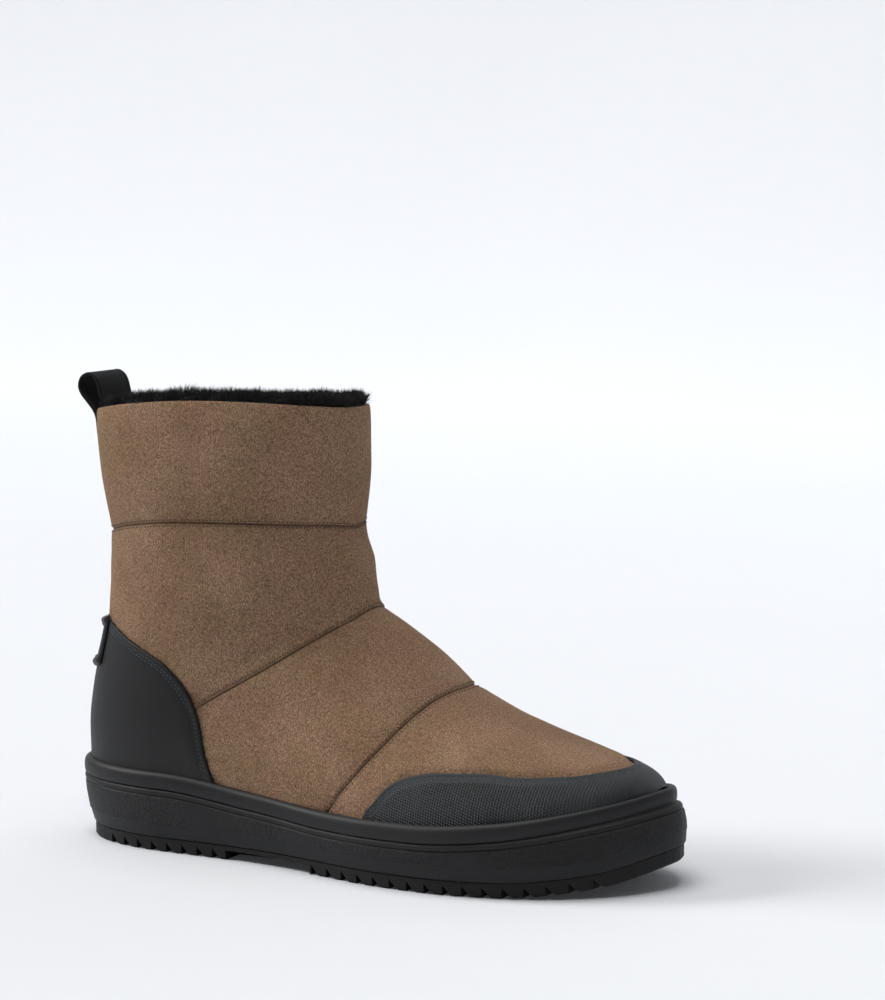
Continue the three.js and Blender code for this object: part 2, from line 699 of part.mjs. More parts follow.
const group = new THREE.Group();
addPiece(group, "outsole", outsolePiece(), RUBBER);
addPiece(group, "midsole", midsolePiece(), RUBBER);
addPiece(group, "insole", insolePiece(), FUR);
addPiece(group, "upper", upperPiece(), SUEDE);
addPiece(group, "toe_cap", toeCapPiece(), CAP_LEATHER);
addPiece(group, "heel_counter", heelCounterPiece(), COUNTER_LEATHER);
addPiece(group, "heel_tab", heelTabPiece(), RUBBER);
addPiece(group, "welt", weltPiece(), RUBBER);
addPiece(group, "pull_loop", pullLoopPiece(), TAPE);
addPiece(group, "zip", zipPiece(), TAPE);
addPiece(group, "zip_slider", zipSliderPiece(), STEEL);
addPiece(group, "zip_pull", zipPullPiece(), STEEL);

// The origin is on the floor, under the middle of the boot's own box.
const middle = new THREE.Box3().setFromObject(group).getCenter(new THREE.Vector3());
group.position.set(-middle.x, -middle.y, 0);
export default group;
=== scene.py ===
import math

import bmesh
import bpy
import numpy as np
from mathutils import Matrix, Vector


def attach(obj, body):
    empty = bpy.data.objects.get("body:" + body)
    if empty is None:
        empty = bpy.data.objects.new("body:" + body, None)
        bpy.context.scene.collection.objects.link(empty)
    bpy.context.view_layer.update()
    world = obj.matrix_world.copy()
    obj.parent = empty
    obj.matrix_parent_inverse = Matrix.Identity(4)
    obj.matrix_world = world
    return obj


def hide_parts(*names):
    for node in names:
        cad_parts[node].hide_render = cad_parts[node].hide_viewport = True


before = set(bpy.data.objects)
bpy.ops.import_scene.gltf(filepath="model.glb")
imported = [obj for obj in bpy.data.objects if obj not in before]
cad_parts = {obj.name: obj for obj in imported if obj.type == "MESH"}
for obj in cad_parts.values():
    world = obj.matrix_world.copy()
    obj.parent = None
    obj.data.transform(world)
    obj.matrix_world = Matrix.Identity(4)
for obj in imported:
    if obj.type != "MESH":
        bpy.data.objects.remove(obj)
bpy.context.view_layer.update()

for loaded in bpy.context.selected_objects:
    loaded.select_set(False)

# ---- cup sole ------------------------------------------------------------------------------------
# The sole is one moulding of black rubber. Its sidewall leans in towards the floor, and has a thin bead
# at the top, a pitted band and a smooth band under a fine step. The pits are about 1 mm across.
# It is shaped over a last: places are millimetres forward from the back of the heel, out to a side, and up.
LATERAL, MEDIAL = -1, 1
HEEL_BACK = 152.45  # the heel stands this far behind the origin
LONG_AXIS = 3.165  # and the boot's long axis this far towards the inner side
SOLE_LENGTH, HEEL_CENTRE, TOE_Y = 305, 61, 10
RAKE_FROM, TOE_RAKE = 215, 4.5  # in front of the first, the cup's edge draws in by the second
OUTSOLE_THICKNESS, GAP = 6.5, 0.3
SOLE_WIDTHS = {
    "x": [61, 92, 122, 152, 183, 207, 245],
    "lateral": [38.8, 39.7, 43.1, 50, 56.5, 57.7, 57.7],
    "medial": [38, 36, 34, 36, 42, 47.5, 52],
}
SOLE_HEIGHTS = {
    "x": [0, 60, 110, 160, 200, 240, 280, 305],
    "top": [38.5, 38.5, 34, 30.8, 31, 33.8, 40.5, 46.5],
    "foot": [0, 0, 0, 0, 0, 0.3, 4.5, 12.5],
}


def steady_curve(table, at, column):
    """A smooth curve through a table's rows that never overshoots them."""
    xs, ys = np.array(table[at], float), np.array(table[column], float)
    if xs[0] > xs[-1]:
        xs, ys = xs[::-1], ys[::-1]
    step, rise = np.diff(xs), np.diff(ys) / np.diff(xs)
    slope = np.empty(len(ys))
    slope[0], slope[-1] = rise[0], rise[-1]
    for i in range(1, len(ys) - 1):
        before, after = step[i - 1], step[i]
        near_after, near_before = 2 * after + before, after + 2 * before
        if rise[i - 1] * rise[i] <= 0:
            slope[i] = 0
        else:
            slope[i] = (near_after + near_before) / (near_after / rise[i - 1] + near_before / rise[i])

    def curve(x):
        held = np.clip(x, xs[0], xs[-1])
        i = np.clip(np.searchsorted(xs, held, side="right") - 1, 0, len(xs) - 2)
        u, h = (held - xs[i]) / step[i], step[i]
        start = (1 + 2 * u) * (1 - u) ** 2 * ys[i] + u * (1 - u) ** 2 * h * slope[i]
        return start + u * u * (3 - 2 * u) * ys[i + 1] + u * u * (u - 1) * h * slope[i + 1]

    return curve


def smooth(x, low, high):
    share = np.clip((x - low) / (high - low), 0, 1)
    return share * share * (3 - 2 * share)


def mix(a, b, share):
    return a + (b - a) * share


SIDE_NAMES = {LATERAL: "lateral", MEDIAL: "medial"}
sole_width = {side: steady_curve(SOLE_WIDTHS, "x", name) for side, name in SIDE_NAMES.items()}
sole_top = steady_curve(SOLE_HEIGHTS, "x", "top")
sole_foot = steady_curve(SOLE_HEIGHTS, "x", "foot")
TOE_ENDS = {LATERAL: (207, 1.9, 0.625), MEDIAL: (245, 2.2, 0.55)}


def sole_y(x, side, inset):
    """The sole's edge on one side, moved in by an inset."""
    x, inset = np.broadcast_arrays(np.asarray(x, float), np.asarray(inset, float))
    width, (toe_from, bend, blunt) = sole_width[side], TOE_ENDS[side]
    v = np.clip((HEEL_CENTRE - x) / (HEEL_CENTRE - inset), 0, 1)
    heel = side * (width(HEEL_CENTRE) - inset) * np.sqrt(1 - v * v)
    waist = side * (width(x) - inset)
    v = np.clip((x - toe_from) / (SOLE_LENGTH - inset - toe_from), 0, 1)
    reach = width(toe_from) - inset - side * TOE_Y
    toe = TOE_Y + side * reach * (1 - v**bend) ** blunt
    return np.where(x < HEEL_CENTRE, heel, np.where(x <= toe_from, waist, toe))


def raked(inset, rake, x):
    return inset + rake * smooth(x, RAKE_FROM, SOLE_LENGTH)


def new_piece(name, points, faces, material, body="root", smooth_shade=True):
    """A piece from points in the last's millimetres, riding on a body."""
    points = np.asarray(points, float)
    placed = (points + np.array([-HEEL_BACK, LONG_AXIS, 0])) / 1000
    mesh = bpy.data.meshes.new(name)
    mesh.from_pydata(placed.tolist(), [], [list(map(int, f)) for f in faces])
    mesh.validate()
    mesh.polygons.foreach_set("use_smooth", [smooth_shade] * len(mesh.polygons))
    piece = bpy.data.objects.new(name, mesh)
    bpy.context.scene.collection.objects.link(piece)
    mesh.materials.append(material)
    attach(piece, body)
    return piece


def close_up(piece, merge=0.00002, turn=True):
    """Merges points closer than a distance in metres, and turns the faces outwards."""
    made = bmesh.new()
    made.from_mesh(piece.data)
    if merge:
        bmesh.ops.remove_doubles(made, verts=made.verts, dist=merge)
    if turn:
        bmesh.ops.recalc_face_normals(made, faces=made.faces)
    made.to_mesh(piece.data)
    made.free()


def paint(piece, name, values):
    """A value at each point of a piece, for its material to read."""
    layer = piece.data.attributes.new(name, "FLOAT", "POINT")
    layer.data.foreach_set("value", np.asarray(values, np.float32).reshape(-1))


def grid_faces(rows, columns, wrap=False, first=0):
    """Quads over rows of points."""
    faces = []
    for i in range(rows - 1):
        for j in range(columns if wrap else columns - 1):
            a, b = first + i * columns + j, first + i * columns + (j + 1) % columns
            faces.append((a, a + columns, b + columns, b))
    return faces


def srgb(code):
    """A hex colour as linear red, green, blue and 1."""
    parts = [int(code[i : i + 2], 16) / 255 for i in (0, 2, 4)]
    return (*[p / 12.92 if p <= 0.04045 else ((p + 0.055) / 1.055) ** 2.4 for p in parts], 1)


def add_node(tree, kind, settings=None, inputs=None):
    """One node, its settings, and its inputs, which are values or other nodes' sockets."""
    node = tree.nodes.new(kind)
    for name, value in (settings or {}).items():
        setattr(node, name, value)
    for name, value in (inputs or {}).items():
        if isinstance(value, bpy.types.NodeSocket):
            tree.links.new(value, node.inputs[name])
        else:
            node.inputs[name].default_value = value
    return node


def new_material(name):
    """An empty material, its node tree and the object's own coordinates in metres."""
    material = bpy.data.materials.new(name)
    material.use_nodes = True
    tree = material.node_tree
    tree.nodes.clear()
    return material, tree, add_node(tree, "ShaderNodeTexCoord").outputs["Object"]


def finish_surface(tree, inputs, bump=None, strength=0.5, depth=0.0002):
    """The shader and its output, with a bump from a height socket."""
    if bump is not None:
        raised = {"Height": bump, "Strength": strength, "Distance": depth}
        inputs = {**inputs, "Normal": add_node(tree, "ShaderNodeBump", inputs=raised).outputs[0]}
    shader = add_node(tree, "ShaderNodeBsdfPrincipled", inputs=inputs)
    add_node(tree, "ShaderNodeOutputMaterial", inputs={"Surface": shader.outputs[0]})


def add_noise(tree, place, mm, detail, rough=0.5):
    """Noise whose cells are a size in millimetres."""
    settings = {"Vector": place, "Scale": 1000 / mm, "Detail": detail, "Roughness": rough}
    return add_node(tree, "ShaderNodeTexNoise", inputs=settings).outputs[0]


def add_maths(tree, operation, *values):
    inputs = dict(enumerate(values))
    return add_node(tree, "ShaderNodeMath", {"operation": operation}, inputs).outputs[0]


def add_range(tree, value, old, new):
    """A value's old range stretched over a new one."""
    limits = {"From Min": old[0], "From Max": old[1], "To Min": new[0], "To Max": new[1]}
    return add_node(tree, "ShaderNodeMapRange", inputs={"Value": value, **limits}).outputs[0]


def ramp(tree, factor, stops):
    """Colours at places along a factor."""
    node = add_node(tree, "ShaderNodeValToRGB", inputs={0: factor})
    while len(node.color_ramp.elements) < len(stops):
        node.color_ramp.elements.new(0.5)
    for element, (place, colour) in zip(node.color_ramp.elements, stops):
        element.position = place
        element.color = colour
    return node.outputs[0]


def rubber(name, colour, pit_mm, pit_depth, low, high):
    """Moulded rubber, semi matt, with fine grain, and shallow pits where a piece is painted as pitted."""
    material, tree, place = new_material(name)
    pits = add_noise(tree, place, pit_mm, 3.0)
    patches = add_noise(tree, place, 1000 / 45, 2.0)
    sharp = ramp(tree, pits, [(0.46, (0, 0, 0, 1)), (0.56, (1, 1, 1, 1))])
    spread = ramp(tree, patches, [(0.38, (0.15, 0.15, 0.15, 1)), (0.6, (1, 1, 1, 1))])
    grain = add_noise(tree, place, 1000 / 2600, 2.0)
    height = add_node(tree, "ShaderNodeAttribute", {"attribute_name": "pitted"}).outputs["Fac"]
    masked = add_maths(tree, "MULTIPLY", add_maths(tree, "MULTIPLY", sharp, spread), height)
    total = add_maths(tree, "ADD", masked, add_maths(tree, "MULTIPLY", grain, 0.12))
    dust = add_noise(tree, place, 1000 / 14, 4.0)
    base = ramp(tree, dust, [(0.3, srgb(colour[0])), (0.72, srgb(colour[1]))])
    rough = add_range(tree, dust, (0.3, 0.7), (low, high))
    inputs = {"Base Color": base, "Roughness": rough, "IOR": 1.52, "Specular IOR Level": 0.3}
    finish_surface(tree, inputs, total, 0.75, pit_depth)
    return material


sidewall_rubber = rubber("pitted_black_rubber", ("161618", "1f1f20"), 1.25, 0.0009, 0.5, 0.62)
bead_rubber = rubber("smooth_black_rubber", ("19191b", "222223"), 1000 / 900, 0.0003, 0.48, 0.58)

SOLE_STATIONS = 130


def sole_ring(inset, height_at, rake=0.0):
    """One ring round the sole, lateral side from heel to toe and back on the medial side."""
    share = (1 - np.cos(np.pi * np.arange(SOLE_STATIONS + 1) / SOLE_STATIONS)) / 2
    x = inset + (SOLE_LENGTH - rake - 2 * inset) * share
    sides = []
    for side, order in ((LATERAL, 1), (MEDIAL, -1)):
        y = sole_y(x, side, raked(inset, rake, x))
        ring = np.stack([x, y, height_at(x)], axis=-1)[::order]
        sides.append(ring if side == LATERAL else ring[1:-1])
    return np.concatenate(sides)


def ladder(first, count):
    """Quads across a ring whose point j lies opposite point count - j."""
    half = count // 2
    faces = [(first, first + 1, first + count - 1)]
    for j in range(1, half - 1):
        faces.append((first + j, first + j + 1, first + count - j - 1, first + count - j))
    faces.append((first + half - 1, first + half, first + half + 1))
    return faces


def wall_foot(x):
    """Height of the sidewall's foot, just clear of the tread."""
    return sole_foot(x) + OUTSOLE_THICKNESS + GAP


BEAD_DEPTH = 8.2  # the bead above ends this far below the sole's top
STEP_UP, SECOND_BEAD = 7.2, 3.7  # the fine step above the wall's foot, and the second bead below the first
# Rows of the wall from its foot: millimetres up from the foot, or down from the bead's lower edge, or a
# share of the height between the step and the second bead; then inset, rake and how pitted it is.
SIDEWALL = [
    ("up", 0, 6.4, -4.2, 0),
    ("up", 0, 5.2, -4.2, 0),
    ("up", 0.35, 4.8, -4.2, 0),
    ("up", 1.0, 4.5, -4.1, 0),
    ("up", 2.4, 4.1, -3.8, 0),
    ("up", 4.4, 3.5, -3.3, 0),
    ("up", 6.0, 3.05, -2.9, 0),
    ("up", 6.3, 2.95, -2.75, 0),
    ("up", 6.45, 2.7, -2.7, 0.3),
    ("up", 6.9, 2.5, -2.6, 1),
    ("share", 0.1, 2.2, -2.2, 1),
    ("share", 0.3, 1.7, -1.6, 1),
    ("share", 0.5, 1.25, -0.9, 1),
    ("share", 0.7, 0.9, -0.2, 1),
    ("share", 0.88, 0.7, 0.3, 1),
    ("share", 1.0, 0.65, 0.7, 0.7),
    ("down", 3.45, 0.75, 0.9, 0),
    ("down", 3.2, 1.2, 1.1, 0),
    ("down", 2.9, 1.2, 1.2, 0),
    ("down", 2.65, 0.75, 1.3, 0),
    ("down", 2.2, 0.45, 1.5, 0),
    ("down", 1.5, 0.35, 1.8, 0),
    ("down", 0.8, 0.45, 2.1, 0),
    ("down", 0.3, 0.8, 2.3, 0),
    ("down", 0.05, 1.4, 2.6, 0),
    ("down", -0.3, 1.7, 3.0, 0),
    ("down", -1.6, 1.9, 3.1, 0),
    ("down", -2.1, 3.0, 3.2, 0),
]


def wall_ring(kind, place, inset, rake):
    """A row of the sidewall as a ring."""

    def height(x):
        step, second = wall_foot(x) + STEP_UP, sole_top(x) - BEAD_DEPTH - SECOND_BEAD
        return {
            "up": wall_foot(x) + place,
            "share": mix(step, second, place),
            "down": sole_top(x) - BEAD_DEPTH - place,
        }[kind]

    return sole_ring(inset, height, rake)


rows = [wall_ring(*row[:4]) for row in SIDEWALL]
count = len(rows[0])
faces = grid_faces(len(rows), count, wrap=True) + ladder(0, count) + ladder((len(rows) - 1) * count, count)
cup = new_piece("cup_sidewall", np.concatenate(rows), faces, sidewall_rubber)
paint(cup, "pitted", np.repeat([row[4] for row in SIDEWALL], count))
close_up(cup, merge=0)
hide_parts("midsole")

# ---- welt ----------------------------------------------------------------------------------------
# A rounded rubber bead, moulded with the cup, that laps the foot of the upper and hides its edge.
BEAD = [
    # down from the sole's top, inset
    (8.1, 5.0),
    (8.1, 1.5),
    (7.9, 0.85),
    (7.4, 0.5),
    (6.5, 0.25),
    (5.2, 0.12),
    (3.9, 0.12),
    (2.8, 0.25),
    (1.9, 0.5),
    (1.15, 0.9),
    (0.6, 1.45),
    (0.2, 2.1),
    (0, 2.8),
    (0.1, 3.5),
    (0.45, 4.1),
    (1.1, 4.6),
    (2.2, 5.0),
]
rows = [sole_ring(inset, lambda x, down=down: sole_top(x) - down, TOE_RAKE) for down, inset in BEAD]
count = len(rows[0])
faces = grid_faces(len(rows), count, wrap=True)
last = (len(rows) - 1) * count
faces += [(last + j, j, (j + 1) % count, last + (j + 1) % count) for j in range(count)]
bead = new_piece("welt_bead", np.concatenate(rows), faces, bead_rubber)
close_up(bead)
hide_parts("welt")

# ---- outsole -------------------------------------------------------------------------------------
# A tougher black rubber with saw teeth along both edges and flat lugs between.
tread_rubber = rubber("tread_black_rubber", ("131314", "1b1b1c"), 1000 / 900, 0.0003, 0.6, 0.72)


def dress(node, material):
    """Puts a material on a shape from the frame."""
    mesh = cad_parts[node].data
    mesh.materials.clear()
    mesh.materials.append(material)


dress("outsole", tread_rubber)

# ---- suede upper ---------------------------------------------------------------------------------
# Four padded panels of brown suede, 2 mm thick over the shearling, joined by three stitched seams. The
# padding stands out between the seams, which draw it in. The zip lies in a slot on the inner side.
OUTER_RISE, TOE_TURN = 6, 9.5  # the collar's extra height outside, and how far the toe's ridge turns inwards
HEEL_Z, COLLAR_Z, HEEL_REACH, COLLAR_REACH = 32.5, 205, 56, 64  # the back is rounded over these lengths
FEATHER_INSET, FEATHER_DROP = 5, 6  # where the lasted foot of the upper meets the sole, from its edge and top
SECTIONS = {
    "at": [0, 1, 2, 3, 4, 5, 6, 7, 8, 9, 10, 11, 12],
    "front_x": [149, 148.5, 146.5, 150.8, 152.8, 154.1, 155.2, 180, 204, 233, 263.5, 284.5, 294.5],
    "front_z": [210, 182, 153.5, 139, 128, 122, 118, 101.2, 81.9, 67.6, 57.2, 49.8, 43.5],
    "back_x": [10.4, 13.5, 18, 17.2, 9, 5, 36, 98, 158, 207, 249, 278, 293.5],
    "back_z": [204, 175, 147, 113, 76, 32.5, 32.5, 29.2, 24.8, 25.2, 28.9, 34.6, 38.8],
    "lateral": [43, 43.5, 42, 41, 39, 37.5, 37.5, 40, 43, 48.5, 44.2, 28.3, 8.8],
    "medial": [41, 42, 41, 40, 38, 36.5, 36, 36, 39.5, 47, 42.6, 28.3, 8.8],
    "widest": [0.46, 0.46, 0.46, 0.46, 0.45, 0.45, 0.5, 0.4, 0.3, 0.25, 0.2, 0.15, 0.1],
    "full": [2.15, 2.15, 2.15, 2.15, 2.15, 2.15, 2.15, 2.1, 2.1, 2, 2, 2.1, 2.4],
}
section = {name: steady_curve(SECTIONS, "at", name) for name in SECTIONS if name != "at"}
closed = {name: SECTIONS[name][:6] for name in ("back_z", "back_x")}  # the rings of the shaft
back_profile = steady_curve(closed, "back_z", "back_x")


def feather_z(x):
    """Height of the upper's lasted foot, hidden below the bead."""
    return sole_top(x) - FEATHER_DROP


def heel_round(x, z):
    """How far the width has opened at a place in front of the back, from 0 to 1."""
    reach = mix(HEEL_REACH, COLLAR_REACH, (z - HEEL_Z) / (COLLAR_Z - HEEL_Z))
    e = np.clip(1 - (x - back_profile(z)) / reach, 0, 1)
    return np.sqrt(1 - e * e)


def foot_width(x, side):
    """Half width of the upper's lasted foot."""
    return side * sole_y(np.maximum(x, HEEL_CENTRE), side, raked(FEATHER_INSET, TOE_RAKE, x))


def outer_rise(t, side):
    """The collar stands this much higher in the middle of the outer side."""
    return OUTER_RISE * np.maximum(0, 1 - t / 4) if side == LATERAL else 0


def upper_point(t, v, side):
    """The upper's outer face: section t from collar to toe, share v from back or feather edge to front."""
    t, v = np.broadcast_arrays(np.asarray(t, float), np.asarray(v, float))
    opened = np.clip(t - 5, 0, 1)
    u = mix((1 - np.cos(np.pi * v)) / 2, np.sin(np.pi * v / 2), opened)
    back_x = section["back_x"](t)
    back_z = np.where(t > 5, feather_z(back_x), section["back_z"](t))
    x = mix(back_x, section["front_x"](t), u)
    flat_z = mix(back_z, section["front_z"](t), u)
    opening = smooth(t, 4, 5)
    middle = (foot_width(back_x, MEDIAL) - foot_width(back_x, LATERAL)) / 2 * opening
    ridge = TOE_TURN * smooth(t, 4, 11)
    centre = mix(middle, ridge, u)
    half = section[SIDE_NAMES[side]](t)
    widest, full = section["widest"](t), section["full"](t)
    e = np.clip((u - widest) / (1 - widest), 0, 1)
    front = half * (1 - e**full) ** (1 / full)
    foot = mix(half, foot_width(back_x, side) - side * middle, opening)
    back = mix(foot, half, 1 - (np.clip((widest - u) / widest, 0, 1)) ** 2)
    y = (centre + side * np.where(u > widest, front, back)) * heel_round(x, flat_z)
    y = np.where((v == 0) & (t <= 5), 0, y)
    return np.stack([x, y, flat_z + outer_rise(t, side) * 4 * u * (1 - u)], axis=-1)


def outwards(t, v, side):
    """Unit directions out of the upper's face, in its middle plane at its back and ridge."""
    t, v = np.broadcast_arrays(np.asarray(t, float), np.asarray(v, float))
    step = 0.02
    at = lambda dt, dv: upper_point(np.clip(t + dt, 0, 12), np.clip(v + dv, 0, 1), side)
    down = at(step, 0) - at(-step, 0)
    forward = at(0, step) - at(0, -step)
    normal = -side * np.cross(down, forward)
    normal[..., 2] = np.where(v == 0, 0, normal[..., 2])
    normal[..., 1] = np.where((v == 1) | ((v == 0) & (t <= 5)), 0, normal[..., 1])
    return normal / np.maximum(np.linalg.norm(normal, axis=-1, keepdims=True), 1e-9)


def apply_modifier(piece, kind, **settings):
    modifier = piece.modifiers.new(kind.title(), kind)
    for name, value in settings.items():
        setattr(modifier, name, value)
    bpy.context.view_layer.objects.active = piece
    bpy.ops.object.modifier_apply(modifier=modifier.name)


# The seams over the instep and the vamp in side view, forward and up.
SEAM_INSTEP = [
    (156.2, 118.6),
    (152, 113.8),
    (146, 109.9),
    (131, 100),
    (117, 91),
    (109.6, 86.8),
    (84, 72),
    (36, 42),
]
SEAM_VAMP = [
    (206, 84.8),
    (202.5, 84.2),
    (199.5, 83.4),
    (195.3, 80.6),
    (189.3, 73.8),
    (180.6, 62.7),
    (171, 51),
    (161.4, 39.1),
    (152, 25),
]
ZIP_TOP_X, ZIP_FOOT_X, ZIP_FOOT_Z, ZIP_TOP_Z = 76, 90, 80, 230
COLLAR_SEAM = {"share": [0, 0.17, 0.32, 0.45, 0.84, 1], "at": [2, 1.965, 1.895, 1.86, 1.865, 1.94]}
CREASES = [
    # from and to in side view, half width, depth
    ((152, 132), (108, 112), 6, 0.7),
    ((150, 124), (122, 107), 4, -0.3),
    ((22, 124), (66, 112), 7, 0.6),
    ((20, 138), (50, 133), 6, 0.4),
    ((170, 97), (146, 66), 9, 0.4),
    ((224, 70), (204, 58), 8, 0.35),
    ((60, 172), (112, 166), 9, 0.35),
    ((132, 200), (138, 166), 8, 0.3),
]
collar_seam = steady_curve(COLLAR_SEAM, "share", "at")


def zip_x(z):
    """The zip's centre line in side view."""
    return np.interp(z, [ZIP_FOOT_Z, ZIP_TOP_Z], [ZIP_FOOT_X, ZIP_TOP_X])


def side_distance(points, line):
    """Distance in side view from points to a line through places."""
    x, z = points[..., 0], points[..., 2]
    best = np.full(x.shape, 1e9)
    for (x0, z0), (x1, z1) in zip(line[:-1], line[1:]):
        along, across = x1 - x0, z1 - z0
        share = np.clip(((x - x0) * along + (z - z0) * across) / (along**2 + across**2), 0, 1)
        best = np.minimum(best, np.hypot(x - x0 - share * along, z - z0 - share * across))
    return best


def side_sign(points, line):
    """Positive in front of and above the line, in side view."""
    order = sorted(line, key=lambda place: place[1])
    edge = np.interp(points[..., 2], [z for _, z in order], [x for x, _ in order])
    return points[..., 0] - edge


def swell(points):
    """A slow unevenness of the padding, from a few crossing waves."""
    x, y, z = points[..., 0], points[..., 1], points[..., 2]
    slow = np.sin(x / 13 + z / 19 + 1.3) * np.sin(y / 11 - z / 14 + 0.4)
    slow = slow + 0.6 * np.sin(z / 9 - x / 23 + y / 17)
    return 0.2 * slow + 0.1 * np.sin(x / 5.1 + y / 6.3) * np.sin(z / 5.7 + y / 8.1 + 2)


CAP_EDGE = {
    "x": [175, 176, 181, 186, 191, 198, 209, 228, 246, 263, 275, 286, 300],
    "z": [24, 31, 38, 44, 47.6, 50.2, 52.1, 52.5, 51.2, 51.2, 51.9, 52.2, 54],
}
COUNTER_EDGE = {
    "z": [20, 36.7, 51.5, 62, 72.8, 79.2, 85.1, 90.6, 94.2, 98.2, 101.9, 105.8, 108.5],
    "x": [94, 90, 85.3, 83.4, 79.8, 76, 70.6, 64, 56.5, 47, 37.5, 27, 5],
}
cap_edge = steady_curve(CAP_EDGE, "x", "z")
counter_edge = steady_curve(COUNTER_EDGE, "z", "x")


def under_overlay(points):
    """1 well under the cap or counter, falling to 0 at their edges."""
    cap = smooth(cap_edge(points[..., 0]) - points[..., 2], -2.2, -0.4) * (points[..., 0] > 173)
    counter = smooth(counter_edge(points[..., 2]) - points[..., 0], -3.4, -0.8) * (points[..., 2] < 112)
    tape = 1 - smooth(np.abs(points[..., 1]), 13.5, 16)
    loop = smooth(points[..., 2], 190, 194) * tape * (points[..., 0] < 40)
    return np.maximum(np.maximum(cap, counter), loop)


PUFF, SEAM_PULL, UNDER_LEATHER, ZIP_SINK = 1.0, 0.5, 0.35, 3.6


def suede_lift(t, v, side):
    """How far the suede's face stands off the last's own surface."""
    points = upper_point(t, v, side)
    seam_z = upper_point(collar_seam(v), v, side)[..., 2]
    collar = np.abs(points[..., 2] - seam_z) + 1e3 * (t > 4.5)
    instep, vamp = side_distance(points, SEAM_INSTEP), side_distance(points, SEAM_VAMP)
    nearest = np.minimum(np.minimum(collar, instep), vamp)
    at_ends = np.maximum(np.exp(-((v / 0.12) ** 2)), np.exp(-(((1 - v) / 0.12) ** 2)))
    puff = PUFF - mix(0.2, 0.85, smooth(points[..., 2], 130, 150)) * at_ends
    lift = puff * (1 - np.exp(-nearest / 7)) - SEAM_PULL * np.exp(-((nearest / 0.5) ** 2))
    lift -= (SEAM_PULL - 0.3 * at_ends) * np.exp(-nearest / 2.6)
    # the needle puckers the suede beside each seam
    around = points[..., 0] * 0.8 + points[..., 1] * 0.6
    pucker = np.sin(around / 1.35 + 2 * np.sin(around / 7)) + 0.5 * np.sin(around / 0.83)
    lift += 0.1 * pucker * np.exp(-((nearest - 2.5) ** 2) / 8)
    lift += swell(points) * (1 - np.exp(-nearest / 10))
    for start, end, width, depth in CREASES:
        lift -= depth * np.exp(-((side_distance(points, [start, end]) / width) ** 2)) * (1 - at_ends)
    # the collar's top edge is turned in
    lift *= smooth(t, 0, 0.35) * 0.8 + 0.2
    lift -= 0.7 * np.exp(-t / 0.03)
    lift = mix(lift, -UNDER_LEATHER, under_overlay(points))
    if side == MEDIAL:
        off = np.abs(points[..., 0] - zip_x(points[..., 2]))
        slot = (1 - smooth(off, 3.6, 4.6)) * smooth(points[..., 2], ZIP_FOOT_Z - 1, ZIP_FOOT_Z + 0.5)
        roll = 0.5 * np.exp(-((off - 5.6) ** 2) / 1.5) * (points[..., 2] > ZIP_FOOT_Z)
        lift = mix(lift, -ZIP_SINK, slot) + roll * (1 - slot)
    return lift


def seam_row(line, low, high, v, side):
    """The section at which a column crosses a seam."""
    low, high = np.full(v.shape, low), np.full(v.shape, high)
    for _ in range(30):
        middle = (low + high) / 2
        ahead = side_sign(upper_point(middle, v, side), line) > 0
        high, low = np.where(ahead, middle, high), np.where(ahead, low, middle)
    return (low + high) / 2


# Rows of the sheet stand close beside each seam, and farther apart between them.
UPPER_COLUMNS = 96  # from back to front on one side
near = np.array([-3.2, -2.2, -1.5, -1.0, -0.7, -0.45, -0.22, 0, 0.22, 0.45, 0.7, 1.0, 1.5, 2.2, 3.2])
SEAM_AT = [2, 6, 8]
rows_at = set(np.round(np.arange(0, 12.001, 0.11), 4))
rows_at = {r for r in rows_at if all(abs(r - s) > 0.17 for s in SEAM_AT)}
for seam, scale in zip(SEAM_AT, (30, 24, 22)):
    rows_at |= {round(seam + n / scale, 4) for n in near}
rows_at |= {0, 0.01, 0.02, 0.035, 0.06, 12}
ROWS = np.array(sorted(r for r in rows_at if 0 <= r <= 12))

# The zip's slot runs along these columns, in millimetres from its centre, which lies at a share of 0.5.
ZIP_COLUMNS = np.array([-6.2, -5.6, -5.1, -4.6, -4.1, -3.6, -2, 0, 2, 3.6, 4.1, 4.6, 5.1, 5.6, 6.2])
ZIP_LAST_SECTION, ZIP_SHARE, SHARE_OF_MM = 4.2, 0.5, 0.0049


def zip_share(t):
    """Share at which the zip's centre crosses a section of the shaft."""
    t, share = np.minimum(t, ZIP_LAST_SECTION), np.full(np.shape(t), 0.5)
    back, front = section["back_x"](t), section["front_x"](t)
    for _ in range(4):
        x = zip_x(upper_point(t, share, MEDIAL)[..., 2])
        share = np.arccos(1 - 2 * (x - back) / (front - back)) / np.pi
    return share


def upper_places(columns, side):
    """Section and share of every grid point, with seams along rows and the zip's slot along columns."""
    v = np.linspace(0, 1, columns + 1)
    if side == MEDIAL:
        v = v[np.abs(v - ZIP_SHARE) > 7 * SHARE_OF_MM]
        v = np.sort(np.concatenate([v, ZIP_SHARE + ZIP_COLUMNS * SHARE_OF_MM]))
    first = np.where(v > 0.02, seam_row(SEAM_INSTEP, 5.02, 6.9, v, side), 5.6)
    second = np.where(v > 0.02, seam_row(SEAM_VAMP, 7.2, 8.9, v, side), 8)
    t = np.empty((len(ROWS), len(v)))
    for j in range(len(v)):
        seams = [0, collar_seam(v[j]), 5, max(first[j], 5.05), second[j], 10, 12]
        t[:, j] = np.interp(ROWS, [0, 2, 5, 6, 8, 10, 12], seams)
    shares = np.broadcast_to(v, t.shape)
    if side == MEDIAL:
        near_zip = smooth(shares, 0.05, 0.45) * (1 - smooth(shares, 0.55, 0.95))
        shares = shares + (zip_share(t) - ZIP_SHARE) * near_zip * (1 - smooth(t, 4.4, 5))
    return t, shares


